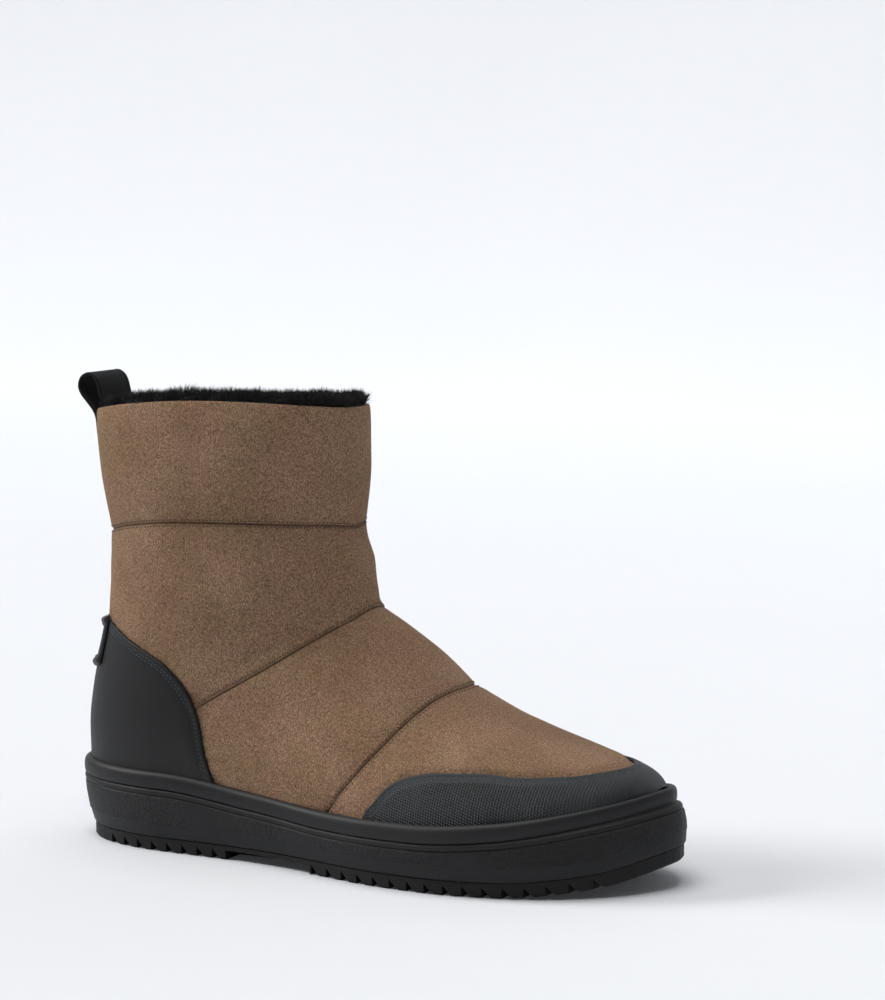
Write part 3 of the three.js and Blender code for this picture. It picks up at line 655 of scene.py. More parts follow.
def suede_face(t, v, side):
    return upper_point(t, v, side) + outwards(t, v, side) * suede_lift(t, v, side)[..., None]


def both_sides(grids):
    """Lateral columns from back to front, then medial ones from front to back, as one sheet."""
    lateral, medial = grids
    return np.concatenate([lateral, medial[:, -2::-1]], axis=1)


# Suede: napped leather. Light catches the nap in soft patches, so its brown drifts between reddish and
# olive over 20 to 40 mm, with fine pale fibres about 0.5 mm apart.
suede, tree, place = new_material("brown_suede")
patches = add_noise(tree, place, 34, 3.0)
hue = add_noise(tree, place, 19, 2.0)
mottle = add_noise(tree, place, 1.0, 3.0, 0.65)
stretched = add_node(
    tree,
    "ShaderNodeMapping",
    inputs={"Vector": place, "Rotation": (0.0, 0.6, 0.0), "Scale": (1.0, 1.0, 0.55)},
)
fibre = add_noise(tree, stretched.outputs[0], 0.5, 2.0, 0.75)
browns = [(0.35, srgb("80654d")), (0.5, srgb("896d57")), (0.65, srgb("937660"))]
broad = ramp(tree, patches, browns)
tint = ramp(tree, hue, [(0.36, srgb("877355")), (0.64, srgb("8f6d5b"))])
tinted = add_node(tree, "ShaderNodeMix", {"data_type": "RGBA"}, {0: 0.25, 6: broad, 7: tint})
TIMES = {"data_type": "RGBA", "blend_type": "MULTIPLY"}
specks = [(0.34, (0.8, 0.8, 0.8, 1)), (0.5, (1, 1, 1, 1)), (0.66, (1.14, 1.14, 1.14, 1))]
speck = ramp(tree, mottle, specks)
speckled = add_node(tree, "ShaderNodeMix", TIMES, {0: 0.9, 6: tinted.outputs[2], 7: speck})
fibres_lit = [(0.36, (0.42, 0.4, 0.38, 1)), (0.5, (1, 1, 1, 1)), (0.66, (1.85, 1.8, 1.72, 1))]
fibre_tone = ramp(tree, fibre, fibres_lit)
napped = add_node(tree, "ShaderNodeMix", TIMES, {0: 0.85, 6: speckled.outputs[2], 7: fibre_tone})
# painted shade: the seam attribute darkens the suede in each seam's groove and in a soft band beside it,
# where shade falls
seam_painted_shade = add_node(tree, "ShaderNodeAttribute", {"attribute_name": "seam"}).outputs["Fac"]
painted_groove_shade = {0: seam_painted_shade, 6: napped.outputs[2], 7: srgb("30241c")}
shaded = add_node(tree, "ShaderNodeMix", {"data_type": "RGBA"}, painted_groove_shade)
nap = add_maths(tree, "ADD", fibre, mottle)
inputs = {"Base Color": shaded.outputs[2], "Roughness": 0.93, "IOR": 1.45, "Specular IOR Level": 0.2}
inputs |= {"Sheen Weight": 0.12, "Sheen Roughness": 0.5, "Sheen Tint": srgb("c9b09a")}
finish_surface(tree, inputs, nap, 0.8, 0.00045)

SUEDE_THICKNESS = 1.8
outer_places = {side: upper_places(UPPER_COLUMNS, side) for side in (LATERAL, MEDIAL)}
outer = both_sides([suede_face(*outer_places[side], side) for side in (LATERAL, MEDIAL)])
row_count, column_count = outer.shape[:2]
upper = new_piece("suede_upper", outer.reshape(-1, 3), grid_faces(row_count, column_count), suede)
t_all = both_sides([outer_places[side][0] for side in (LATERAL, MEDIAL)])
bare = both_sides([upper_point(*outer_places[side], side) for side in (LATERAL, MEDIAL)])
v_all = both_sides([outer_places[side][1] for side in (LATERAL, MEDIAL)])
seam_z = np.where(
    np.arange(column_count)[None, :] <= UPPER_COLUMNS,
    upper_point(collar_seam(v_all), v_all, LATERAL)[..., 2],
    upper_point(collar_seam(v_all), v_all, MEDIAL)[..., 2],
)
to_seam = np.minimum(side_distance(bare, SEAM_INSTEP), side_distance(bare, SEAM_VAMP))
to_seam = np.minimum(to_seam, np.abs(bare[..., 2] - seam_z) + 1e3 * (t_all > 4.5))
# painted shade along the seams: a narrow dark line in the groove and a softer shaded band about 3 mm wide on
# both sides
seam_shade = 0.6 * np.exp(-((to_seam / 0.34) ** 2)) + 0.14 * np.exp(-to_seam / 3.5)
paint(upper, "seam", seam_shade)
close_up(upper, 0.00001, turn=False)
apply_modifier(upper, "SOLIDIFY", thickness=SUEDE_THICKNESS / 1000, offset=-1.0)
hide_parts("upper")

# ---- toe cap and heel counter --------------------------------------------------------------------
# Black leather overlays, 1.4 mm thick, with folded edges, sewn on over the suede. The cap is embossed
# with a fine diamond pattern, 1.2 mm across, and the counter is smooth.


def places_at(x, z, side):
    """Section and share of the upper's surface at a place in side view."""
    x, z = np.asarray(x, float), np.asarray(z, float)
    low, high = np.zeros(x.shape), np.full(x.shape, 12.0)

    def share(t):
        back, front = section["back_x"](t), section["front_x"](t)
        return np.clip((x - back) / (front - back), 0, 1)

    for _ in range(40):
        t = (low + high) / 2
        u = share(t)
        back_z = np.where(t > 5, feather_z(section["back_x"](t)), section["back_z"](t))
        height = mix(back_z, section["front_z"](t), u) + outer_rise(t, side) * 4 * u * (1 - u)
        low, high = np.where(height > z, t, low), np.where(height > z, high, t)
    t = (low + high) / 2
    u, opened = share(t), np.clip(t - 5, 0, 1)
    low, high = np.zeros(x.shape), np.ones(x.shape)
    for _ in range(40):
        v = (low + high) / 2
        below = mix((1 - np.cos(np.pi * v)) / 2, np.sin(np.pi * v / 2), opened) < u
        low, high = np.where(below, v, low), np.where(below, high, v)
    return t, (low + high) / 2


def on_sides(t, v, medial):
    """Points and outward directions, where medial tells which side each place is on."""
    pick = medial[..., None]
    points = np.where(pick, upper_point(t, v, MEDIAL), upper_point(t, v, LATERAL))
    return points, np.where(pick, outwards(t, v, MEDIAL), outwards(t, v, LATERAL))


def lengths(points):
    steps = np.linalg.norm(np.diff(points, axis=0), axis=-1)
    return np.concatenate([[0], np.cumsum(steps)])


def spaced(places, surface, count):
    """A line of (t, w) places, spaced evenly along the surface."""
    along = lengths(surface(places)[0])
    at = np.linspace(0, along[-1], count)
    return np.stack([np.interp(at, along, places[:, k]) for k in (0, 1)], axis=-1)


def gap_to(points, edge):
    """Distance from points to an edge, which is a line of close points."""
    best = np.full(points.shape[:-1], 1e9)
    for a, b in zip(edge[:-1], edge[1:]):
        along = b - a
        share = np.clip(((points - a) @ along) / max(along @ along, 1e-12), 0, 1)
        best = np.minimum(best, np.linalg.norm(points - a - share[..., None] * along, axis=-1))
    return best


OVERLAY_GAPS = np.array([0, 0.12, 0.35, 0.7, 1.1, 1.6, 2.0, 2.4, 2.8, 3.3, 3.8, 4.3, 4.8, 5.6, 7])
STITCH_ROWS = (2.3, 3.8)
BULGE_Z, BULGE_REACH = 58, 16  # where the counter swells most over the heel
OVERLAY_COLUMNS = 260


def overlay_lift(gap):
    """The overlay's face over the suede: it rises quickly from its edge, and dips at the stitches."""
    face = 0.1 + 1.4 * np.sqrt(np.clip(1 - (1 - np.clip(gap / 0.8, 0, 1)) ** 2, 0, 1))
    dips = sum(np.exp(-(((gap - row) / 0.5) ** 2)) for row in STITCH_ROWS)
    return face - 0.22 * dips


def overlay(name, edge, base, surface, rest, material, node, bulge=0, round_uv=None):
    """A leather sheet between its folded edge and its lasted foot. Gives the piece and its stitch rows."""
    columns = OVERLAY_COLUMNS
    fine_edge = surface(spaced(edge, surface, 500))[0]
    top, foot = spaced(edge, surface, columns), spaced(base, surface, columns)
    trial = np.linspace(0, 1, 80) ** 1.5
    places = top[None] + (foot - top)[None] * trial[:, None, None]
    trial_gap = gap_to(surface(places)[0], fine_edge)
    total = len(OVERLAY_GAPS) + rest
    shares = np.empty((total, columns))
    rows_of_stitches = [[] for _ in STITCH_ROWS]
    for j in range(columns):
        reach = np.maximum.accumulate(trial_gap[:, j]) + np.arange(len(trial)) * 1e-7
        near = np.minimum(np.interp(OVERLAY_GAPS, reach, trial), np.arange(len(OVERLAY_GAPS)) / total)
        near[0] = 0
        shares[: len(OVERLAY_GAPS), j] = near
        shares[len(OVERLAY_GAPS) :, j] = near[-1] + (1 - near[-1]) * np.arange(1, rest + 1) / rest
        for row, found in zip(STITCH_ROWS, rows_of_stitches):
            if reach[-1] > row + 0.4:
                found.append(top[j] + (foot[j] - top[j]) * np.interp(row, reach, trial))
    places = top[None] + (foot - top)[None] * shares[..., None]
    points, normals = surface(places)
    gap = gap_to(points, fine_edge)
    swollen = np.exp(-(((points[..., 2] - BULGE_Z) / BULGE_REACH) ** 2)) * smooth(gap, 0, 9)
    raised = overlay_lift(gap) + bulge * swollen
    points = points + normals * raised[..., None]
    piece = new_piece(name, points.reshape(-1, 3), grid_faces(total, columns), material)
    paint(piece, "gap", gap)
    if round_uv:
        layer = piece.data.uv_layers.new(name="surface")
        loops = np.empty(len(piece.data.loops), np.int32)
        piece.data.loops.foreach_get("vertex_index", loops)
        uv = round_uv(places).reshape(-1, 2)[loops] / 1000
        layer.data.foreach_set("uv", uv.astype(np.float32).reshape(-1))
    middle = total // 2 * columns + columns // 2
    if piece.data.vertices[middle].normal.dot(Vector(normals.reshape(-1, 3)[middle])) < 0:
        piece.data.flip_normals()
    close_up(piece, 0.00001, turn=False)
    apply_modifier(piece, "SOLIDIFY", thickness=0.0011, offset=-1.0)
    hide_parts(node)
    return piece, [np.array(found) for found in rows_of_stitches]


def cap_surface(places):
    t, w = places[..., 0], places[..., 1]
    return on_sides(t, 1 - np.abs(w), w > 0)


def counter_surface(places):
    t, w = places[..., 0], places[..., 1]
    return on_sides(t, np.abs(w), w > 0)


def girth_uv(places):
    """Distance along the boot, and round it from the ridge."""
    t, w = places[..., 0], places[..., 1]
    shares = np.linspace(0, 1, 61)
    at = np.linspace(7, 12, 101)
    tables = {}
    for side in (LATERAL, MEDIAL):
        grid = upper_point(at[:, None], shares[None], side)
        steps = np.linalg.norm(np.diff(grid, axis=1), axis=-1)
        along = np.concatenate([np.zeros((len(at), 1)), np.cumsum(steps, axis=1)], axis=1)
        tables[side] = along[:, -1:] - along
    row = np.clip((t - 7) / 5 * 100, 0, 99.999)
    column = np.clip((1 - np.abs(w)) * 60, 0, 59.999)
    i, j = row.astype(int), column.astype(int)
    fi, fj = row - i, column - j
    found = {}
    for side, table in tables.items():
        left = mix(table[i, j], table[i + 1, j], fi)
        right = mix(table[i, j + 1], table[i + 1, j + 1], fi)
        found[side] = mix(left, right, fj) * side
    points, _ = cap_surface(places)
    return np.stack([points[..., 0], np.where(w > 0, found[MEDIAL], found[LATERAL])], axis=-1)


EMBOSS_PITCH = 0.0012


def black_leather(name, dark, light, roughness, embossed):
    """Finished leather, semi matt, with a pebble of 0.6 mm, or with the emboss over it and the emboss's light
    and shade painted into its colour.
    """
    material, tree, place = new_material(name)
    pebble = add_node(tree, "ShaderNodeTexVoronoi", inputs={"Vector": place, "Scale": 1000 / 0.6})
    cloud = add_noise(tree, place, 26, 4.0)
    base = ramp(tree, cloud, [(0.3, srgb(dark)), (0.7, srgb(light))])
    height, depth, strength = pebble.outputs["Distance"], 0.00012, 0.35
    if embossed:
        uv = add_node(tree, "ShaderNodeUVMap", {"uv_map": "surface"}).outputs[0]
        parts = add_node(tree, "ShaderNodeSeparateXYZ", inputs={0: uv})
        waves = []
        for sign in (1, -1):
            diagonal = add_maths(tree, "MULTIPLY_ADD", parts.outputs[1], 1.0 * sign, parts.outputs[0])
            turned = add_maths(tree, "MULTIPLY", diagonal, math.pi / EMBOSS_PITCH)
            waves.append(add_maths(tree, "SINE", turned))
        lattice = add_maths(tree, "MULTIPLY", *waves)
        fade = add_node(tree, "ShaderNodeAttribute", {"attribute_name": "embossed"}).outputs["Fac"]
        shown = add_maths(tree, "MULTIPLY", lattice, fade)
        height, depth, strength = add_maths(tree, "MULTIPLY_ADD", height, 0.2, shown), 0.0003, 0.9
        # painted light and shade: the raised diamonds are lightened and the sunk ones darkened in the colour
        painted_emboss_light = add_range(tree, shown, (-1.0, 1.0), (0.2, 2.6))
        base = add_node(tree, "ShaderNodeMix", TIMES, {0: 1.0, 6: base, 7: painted_emboss_light}).outputs[2]
    rough = add_range(tree, cloud, (0.3, 0.7), (roughness - 0.06, roughness + 0.06))
    inputs = {"Base Color": base, "Roughness": rough, "IOR": 1.5, "Specular IOR Level": 0.3}
    finish_surface(tree, inputs, height, strength, depth)
    return material


cap_leather = black_leather("embossed_black_leather", "1e2021", "2b2d2e", 0.6, True)
counter_leather = black_leather("smooth_black_leather", "171718", "202021", 0.55, False)

ridge_at = np.linspace(6, 12, 1201)
ridge_x, ridge_z = section["front_x"](ridge_at), section["front_z"](ridge_at)
edge_x = np.concatenate([np.linspace(175.6, 192, 300), np.linspace(192.2, 292, 500)])
edge_z = cap_edge(edge_x)
below_ridge = edge_z < np.interp(edge_x, ridge_x, ridge_z)
last_x = edge_x[below_ridge][-1]
edge_x, edge_z = edge_x[edge_x <= last_x], edge_z[edge_x <= last_x]
half_edges = []
for side in (LATERAL, MEDIAL):
    t, v = places_at(edge_x, edge_z, side)
    half_edges.append(np.stack([t, side * (1 - v)], axis=-1))
ridge_place = np.array([[half_edges[0][-1, 0], 0.0]])
cap_line = np.concatenate([half_edges[0], ridge_place, half_edges[1][::-1]])
foot_rows = np.linspace(half_edges[0][0, 0], 12, 80)
across = np.linspace(-1, 1, 41)[1:-1]
cap_base = np.concatenate(
    [
        np.stack([foot_rows, np.full(80, -1.0)], axis=-1),
        np.stack([np.full(39, 12.0), across], axis=-1),
        np.stack([foot_rows[::-1], np.full(80, 1.0)], axis=-1),
    ]
)
cap, cap_stitch_rows = overlay(
    "toe_cap_leather",
    cap_line,
    cap_base,
    cap_surface,
    30,
    cap_leather,
    "toe_cap",
    round_uv=girth_uv,
)
points = np.empty(len(cap.data.vertices) * 3)
cap.data.vertices.foreach_get("co", points)
gap = np.empty(len(cap.data.vertices))
cap.data.attributes["gap"].data.foreach_get("value", gap)
along = points[::3] * 1000 + HEEL_BACK
# the emboss and its painted light and shade stop at the sewn edge and fade out over the toe
paint(cap, "embossed", smooth(gap, 4.4, 5.4) * (1 - 0.85 * smooth(along, 255, 290)))

back_z_at = np.linspace(108, 90, 400)
edge_z = back_z_at[np.argmax(counter_edge(back_z_at) > back_profile(back_z_at) + 0.02)]
edge_z = np.linspace(edge_z, 22, 700)
edge_x = counter_edge(edge_z)
half_edges = []
for side in (LATERAL, MEDIAL):
    t, v = places_at(edge_x, edge_z, side)
    keep = (t < 5) | (edge_z > feather_z(edge_x) + 0.3)
    half_edges.append(np.stack([t, side * v], axis=-1)[keep])
back_place = np.array([[half_edges[0][0, 0], 0.0]])
counter_line = np.concatenate([half_edges[0][::-1], back_place, half_edges[1]])
foot_rows = np.linspace(half_edges[0][-1, 0], 5.0001, 90)
counter_base = np.concatenate(
    [
        np.stack([foot_rows, np.full(90, -1e-6)], axis=-1),
        np.stack([foot_rows[::-1], np.full(90, 1e-6)], axis=-1),
    ]
)
_, counter_stitch_rows = overlay(
    "heel_counter_leather",
    counter_line,
    counter_base,
    counter_surface,
    44,
    counter_leather,
    "heel_counter",
    bulge=1.3,
)

# ---- stitches ------------------------------------------------------------------------------------
# Polyester thread: each stitch lies in a small pit, 2 mm from the next. The seams in the suede have a row
# on both sides, or one above the fold at the instep, and the leather's edges have two.


def thread(name, colour):
    """Twisted polyester sewing thread, 0.5 mm thick, with a slight sheen."""
    material, tree, place = new_material(name)
    twist = add_noise(tree, place, 0.4, 2.0)
    tone = ramp(tree, twist, [(0.35, srgb(colour[0])), (0.65, srgb(colour[1]))])
    finish_surface(tree, {"Base Color": tone, "Roughness": 0.55}, twist, 0.4, 0.0001)
    return material


brown_thread = thread("dark_brown_thread", ("2f241c", "453629"))
black_thread = thread("black_thread", ("1c2326", "4a575b"))


def sewn(name, lines, pitch, half_length, radius, material):
    """Stitches laid end to end along lines of points with their outward directions."""
    points, faces = [], []
    for line, normals in lines:
        along = lengths(line)
        count = int(along[-1] // pitch)
        middles = (np.arange(count) + 0.5) * pitch
        at = lambda values, s: np.stack([np.interp(s, along, values[:, k]) for k in range(3)], axis=-1)
        centre, up = at(line, middles), at(normals, middles)
        ahead = at(line, middles + pitch * 0.3) - at(line, middles - pitch * 0.3)
        for c, n, a in zip(centre, up, ahead):
            a = a / max(np.linalg.norm(a), 1e-9)
            b = np.cross(n, a)
            b = b / max(np.linalg.norm(b), 1e-9)
            first = len(points)
            points.append(c - a * half_length - n * radius)
            for place in (-0.45, 0.45):
                for k in range(6):
                    turn = math.tau * k / 6
                    around = radius * (b * math.cos(turn) + n * math.sin(turn))
                    points.append(c + a * half_length * place + around)
            points.append(c + a * half_length - n * radius)
            for k in range(6):
                n1, n2 = first + 1 + k, first + 1 + (k + 1) % 6
                faces += [(first, n2, n1), (n1, n2, n2 + 6, n1 + 6), (first + 13, n1 + 6, n2 + 6)]
    close_up(new_piece(name, points, faces, material), 0.000001)


def seam_line(line, lift_by, beyond=1.2):
    """Points and directions along a side-view line on both sides, seen where no overlay covers them."""
    x = np.concatenate([np.linspace(a[0], b[0], 40) for a, b in zip(line[:-1], line[1:])])
    z = np.concatenate([np.linspace(a[1], b[1], 40) for a, b in zip(line[:-1], line[1:])])
    found = []
    for side in (LATERAL, MEDIAL):
        t, v = places_at(x, z, side)
        points = upper_point(t, v, side)
        ridge = np.interp(x, ridge_x, ridge_z)
        keep = (points[:, 0] > counter_edge(z) + beyond) | (z > 108)
        keep &= (z > cap_edge(x) + beyond) | (x < 175)
        keep &= z < np.where(x > 156, ridge, 300)
        t, v = t[keep], v[keep]
        points, normals = upper_point(t, v, side), outwards(t, v, side)
        lift = suede_lift(t, v, side) + lift_by
        found.append((points + normals * lift[:, None], normals))
    lateral, medial = found
    return [tuple(np.concatenate([lateral[k][::-1], medial[k]]) for k in (0, 1))]


def shifted(line, mm):
    """A side-view line moved across itself."""
    line = np.array(line, float)
    along = np.gradient(line, axis=0)
    along /= np.linalg.norm(along, axis=1, keepdims=True)
    return line + mm * np.stack([along[:, 1], -along[:, 0]], axis=-1)


def collar_line(above, lift_by):
    """Points and directions round the shaft, a little above its seam."""
    found = []
    for side in (LATERAL, MEDIAL):
        v = np.linspace(0, 1, 400)
        tt = collar_seam(v) - above / 28
        points, normals = upper_point(tt, v, side), outwards(tt, v, side)
        found.append((points + normals * (suede_lift(tt, v, side) + lift_by)[:, None], normals))
    lateral, medial = found
    return [tuple(np.concatenate([lateral[k], medial[k][::-1]]) for k in (0, 1))]


suede_lines = collar_line(1.3, 0.12) + collar_line(-1.3, 0.02) + seam_line(shifted(SEAM_INSTEP, 1.4), 0.12)
suede_lines += seam_line(shifted(SEAM_VAMP, 1.3), 0.1) + seam_line(shifted(SEAM_VAMP, -1.3), 0.1)
sewn("suede_stitches", suede_lines, 1.9, 0.6, 0.27, brown_thread)


def overlay_lines(rows, surface):
    lines = []
    for row, places in zip(STITCH_ROWS, rows):
        points, normals = surface(places)
        lines.append((points + normals * (overlay_lift(row) + 0.05), normals))
    return lines


cap_lines = overlay_lines(cap_stitch_rows, cap_surface)
sewn("cap_stitches", cap_lines, 2.0, 0.8, 0.27, black_thread)
counter_lines = overlay_lines(counter_stitch_rows, counter_surface)
sewn("counter_stitches", counter_lines, 2.0, 0.8, 0.27, black_thread)

# ---- heel tab ------------------------------------------------------------------------------------
# A moulded rubber strip, 48 by 25 mm, bonded round the back of the counter, with a roll at its top and
# foot, and a plain raised bar between two sunk bands.
TAB_HALF, TAB_FOOT, TAB_TOP = 24, 80, 105
edge_steps = np.array([0, 0.15, 0.45, 0.9])
inner_z = np.linspace(TAB_TOP - 1.4, TAB_FOOT + 1.4, 46)
inner_y = np.linspace(-TAB_HALF + 1.3, TAB_HALF - 1.3, 77)
tab_z = np.concatenate([TAB_TOP - edge_steps, inner_z, TAB_FOOT + edge_steps[::-1]])
tab_y = np.concatenate([-TAB_HALF + edge_steps, inner_y, TAB_HALF - edge_steps[::-1]])
tab_t = np.interp(-tab_z, -section["back_z"](np.linspace(2, 5, 600)), np.linspace(2, 5, 600))
tab_points = np.empty((len(tab_z), len(tab_y), 3))
for j, y in enumerate(tab_y):
    side = LATERAL if y < 0 else MEDIAL
    low, high = np.zeros(tab_t.shape), np.full(tab_t.shape, 0.6)
    for _ in range(30):
        middle = (low + high) / 2
        inside = np.abs(upper_point(tab_t, middle, side)[:, 1]) < abs(y)
        low, high = np.where(inside, middle, low), np.where(inside, high, middle)
    points, normals = upper_point(tab_t, low, side), outwards(tab_t, low, side)
    rim = np.minimum(np.minimum(TAB_TOP - tab_z, tab_z - TAB_FOOT), TAB_HALF - abs(y))
    rise = 1.9 + 1.3 * np.sqrt(np.clip(1 - (1 - np.clip(rim / 0.9, 0, 1)) ** 2, 0, 1))
    ends = np.exp(-(((tab_z - 102.9) / 1.5) ** 2)) + np.exp(-(((tab_z - 82.3) / 1.5) ** 2))
    bands = smooth(abs(y), 3.6, 4.1) - smooth(abs(y), 20.8, 21.4)
    sunk = bands * smooth(tab_z, 85, 85.8) * (1 - smooth(tab_z, 99.6, 100.4))
    tab_points[:, j] = points + normals * (rise + 0.9 * ends * smooth(rim, 0, 1) - 0.9 * sunk)[:, None]
tab = new_piece(
    "heel_tab_strip",
    tab_points.reshape(-1, 3),
    grid_faces(len(tab_z), len(tab_y)),
    bead_rubber,
)
if tab.data.polygons[len(tab.data.polygons) // 2].normal.x > 0:
    tab.data.flip_normals()
apply_modifier(tab, "SOLIDIFY", thickness=0.0012, offset=-1.0)
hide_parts("heel_tab")

# ---- pull loop -----------------------------------------------------------------------------------
# Ribbed grosgrain tape, 26 mm wide and 1.4 mm thick, folded into a loop and sewn behind the collar. One
# rib is 0.9 mm, and both edges are bound.
LOOP_PATH = [
    (10.2, 192.5),
    (9.9, 196),
    (9.4, 200),
    (8.4, 203.8),
    (6.5, 207.6),
    (4.2, 211.5),
    (3.1, 215.5),
    (4.6, 219.3),
    (8.5, 221.0),
    (12.0, 219.2),
    (13.9, 215.5),
    (14.8, 211),
    (15.2, 206),
    (15.4, 201),
]
TAPE_WIDTH, TAPE_THICKNESS = 26, 1.3


def smooth_path(path, count):
    """A curve through points, spaced evenly."""
    path = np.array(path, float)
    at = lengths(path)
    slope = np.gradient(path, at, axis=0)
    s = np.linspace(0, at[-1], 40 * len(path))
    i = np.clip(np.searchsorted(at, s, side="right") - 1, 0, len(path) - 2)
    h = (at[i + 1] - at[i])[:, None]
    u = ((s - at[i]) / (at[i + 1] - at[i]))[:, None]
    fine = (1 + 2 * u) * (1 - u) ** 2 * path[i] + u * (1 - u) ** 2 * h * slope[i]
    fine += u * u * (3 - 2 * u) * path[i + 1] + u * u * (u - 1) * h * slope[i + 1]
    along = lengths(fine)
    even = np.linspace(0, along[-1], count)
    return np.stack([np.interp(even, along, fine[:, k]) for k in (0, 1)], axis=-1), along[-1]


RIB = 0.9
loop_line, loop_length = smooth_path(LOOP_PATH, 361)
ahead = np.gradient(loop_line, axis=0)
ahead /= np.linalg.norm(ahead, axis=1, keepdims=True)
loop_out = np.stack([-ahead[:, 1], ahead[:, 0]], axis=-1)
ring_y, ring_n = [], []
half = TAPE_WIDTH / 2
for place in np.linspace(-half, half, 27):
    ring_y.append(place)
    ring_n.append(1.0)
ring_y += [half + 0.25] + list(np.linspace(half, -half, 27)) + [-half - 0.25]
ring_n += [0.0] + [-1.0] * 27 + [0.0]
ring_y, ring_n = np.array(ring_y), np.array(ring_n)
bound = 1 + 0.22 * np.exp(-(((np.abs(ring_y) - half + 0.9) / 0.7) ** 2))
along = np.linspace(0, loop_length, len(loop_line))
ribbed = 0.07 * np.cos(math.tau * along / RIB)
between = np.abs(ring_y) < half - 1.6
thick = TAPE_THICKNESS / 2 * ring_n[None] * bound[None] + ribbed[:, None] * ring_n[None] * between
wrap = 0.02 * (1 - smooth(loop_line[:, 1], 200, 214))
loop_points = np.stack(
    [
        loop_line[:, :1] + loop_out[:, :1] * thick + wrap[:, None] * ring_y[None] ** 2,
        np.broadcast_to(ring_y, thick.shape) * 1.0,
        loop_line[:, 1:] + loop_out[:, 1:] * thick,
    ],
    axis=-1,
)
columns = len(ring_y)
faces = grid_faces(len(loop_line), columns, wrap=True)
end = len(loop_line) * columns
faces += [tuple(range(columns)), tuple(range(end - 1, end - columns - 1, -1))]

# Woven polyester: the weft ribs cross the tape, and the warp shows as fine lines 0.5 mm apart along it.
grosgrain, tree, place = new_material("black_grosgrain")
parts = add_node(tree, "ShaderNodeSeparateXYZ", inputs={0: place})
warp = add_maths(tree, "SINE", add_maths(tree, "MULTIPLY", parts.outputs[1], math.tau / 0.0005))
lint = add_noise(tree, place, 0.5, 3.0)
height = add_maths(tree, "MULTIPLY_ADD", warp, 0.4, lint)
tone = ramp(tree, lint, [(0.35, srgb("08080a")), (0.7, srgb("131416"))])
inputs = {"Base Color": tone, "Roughness": 0.8, "Specular IOR Level": 0.25, "Sheen Weight": 0.04}
finish_surface(tree, inputs, height, 0.5, 0.0001)
loop = new_piece("pull_loop_tape", loop_points.reshape(-1, 3), faces, grosgrain)
close_up(loop, 0.000001)
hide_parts("pull_loop")


def tape_back(z):
    """The middle of the tape's outer leg in side view."""
    return np.interp(z, loop_line[:140, 1], loop_line[:140, 0])


box_stitch = []
for y in (-10.2, 10.2):
    stitch_z = np.linspace(192.8, 200.5, 12)
    stitch_x = tape_back(stitch_z) - TAPE_THICKNESS / 2 - 0.02 + 0.02 * y * y
    line = np.stack([stitch_x, np.full(12, y), stitch_z], axis=-1)
    box_stitch.append((line, np.tile([-1.0, 0, 0], (12, 1))))
for z in (193.8, 200.2):
    stitch_y = np.linspace(-9.6, 9.6, 30)
    stitch_x = tape_back(z) - TAPE_THICKNESS / 2 - 0.02 + 0.02 * stitch_y**2
    line = np.stack([stitch_x, stitch_y, np.full(30, z)], axis=-1)
    box_stitch.append((line, np.tile([-1.0, 0, 0], (30, 1))))
sewn("loop_stitches", box_stitch, 2.0, 0.8, 0.24, black_thread)

# ---- zip -----------------------------------------------------------------------------------------
# A metal zip in a slot on the inner side: woven tape 8 mm wide, two rows of teeth 2.1 mm apart, and a
# slider with a hanging tab at the top, where the zip is closed.
zip_z = np.linspace(ZIP_FOOT_Z + 0.4, 207.5, 90)
zip_centre = zip_x(zip_z)
zip_across = np.linspace(-4.2, 4.2, 13)
tx = zip_centre[:, None] + zip_across[None]
tz = np.broadcast_to(zip_z[:, None], tx.shape)
t, v = places_at(tx, tz, MEDIAL)
zip_points = upper_point(t, v, MEDIAL) + outwards(t, v, MEDIAL) * -2.2
tape, tree, place = new_material("woven_zip_tape")
threads = {"Vector": place, "Scale": 1000 / 0.7 / 20, "Distortion": 1.0}
weave = add_node(tree, "ShaderNodeTexWave", {"bands_direction": "Z"}, threads)
tone = ramp(tree, weave.outputs[0], [(0.2, srgb("161618")), (0.8, srgb("242427"))])
finish_surface(tree, {"Base Color": tone, "Roughness": 0.8}, weave.outputs[0], 0.5, 0.00015)
strip_faces = grid_faces(*tx.shape)
tape_piece = new_piece("zip_tape_strip", zip_points.reshape(-1, 3), strip_faces, tape)
if tape_piece.data.polygons[500].normal.y < 0:
    tape_piece.data.flip_normals()
apply_modifier(tape_piece, "SOLIDIFY", thickness=0.0009, offset=-1.0)
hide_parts("zip")

# Satin nickel on die-cast zinc: soft scratches keep it from being a mirror.
metal, tree, place = new_material("satin_nickel")
scratch = add_noise(tree, place, 0.8, 4.0)
tone = ramp(tree, scratch, [(0.3, srgb("8d8c88")), (0.7, srgb("b3b1ac"))])
rough = add_range(tree, scratch, (0.3, 0.7), (0.26, 0.4))
nickel = {"Base Color": tone, "Roughness": rough, "Metallic": 1.0}
finish_surface(tree, nickel, scratch, 0.15, 0.00005)

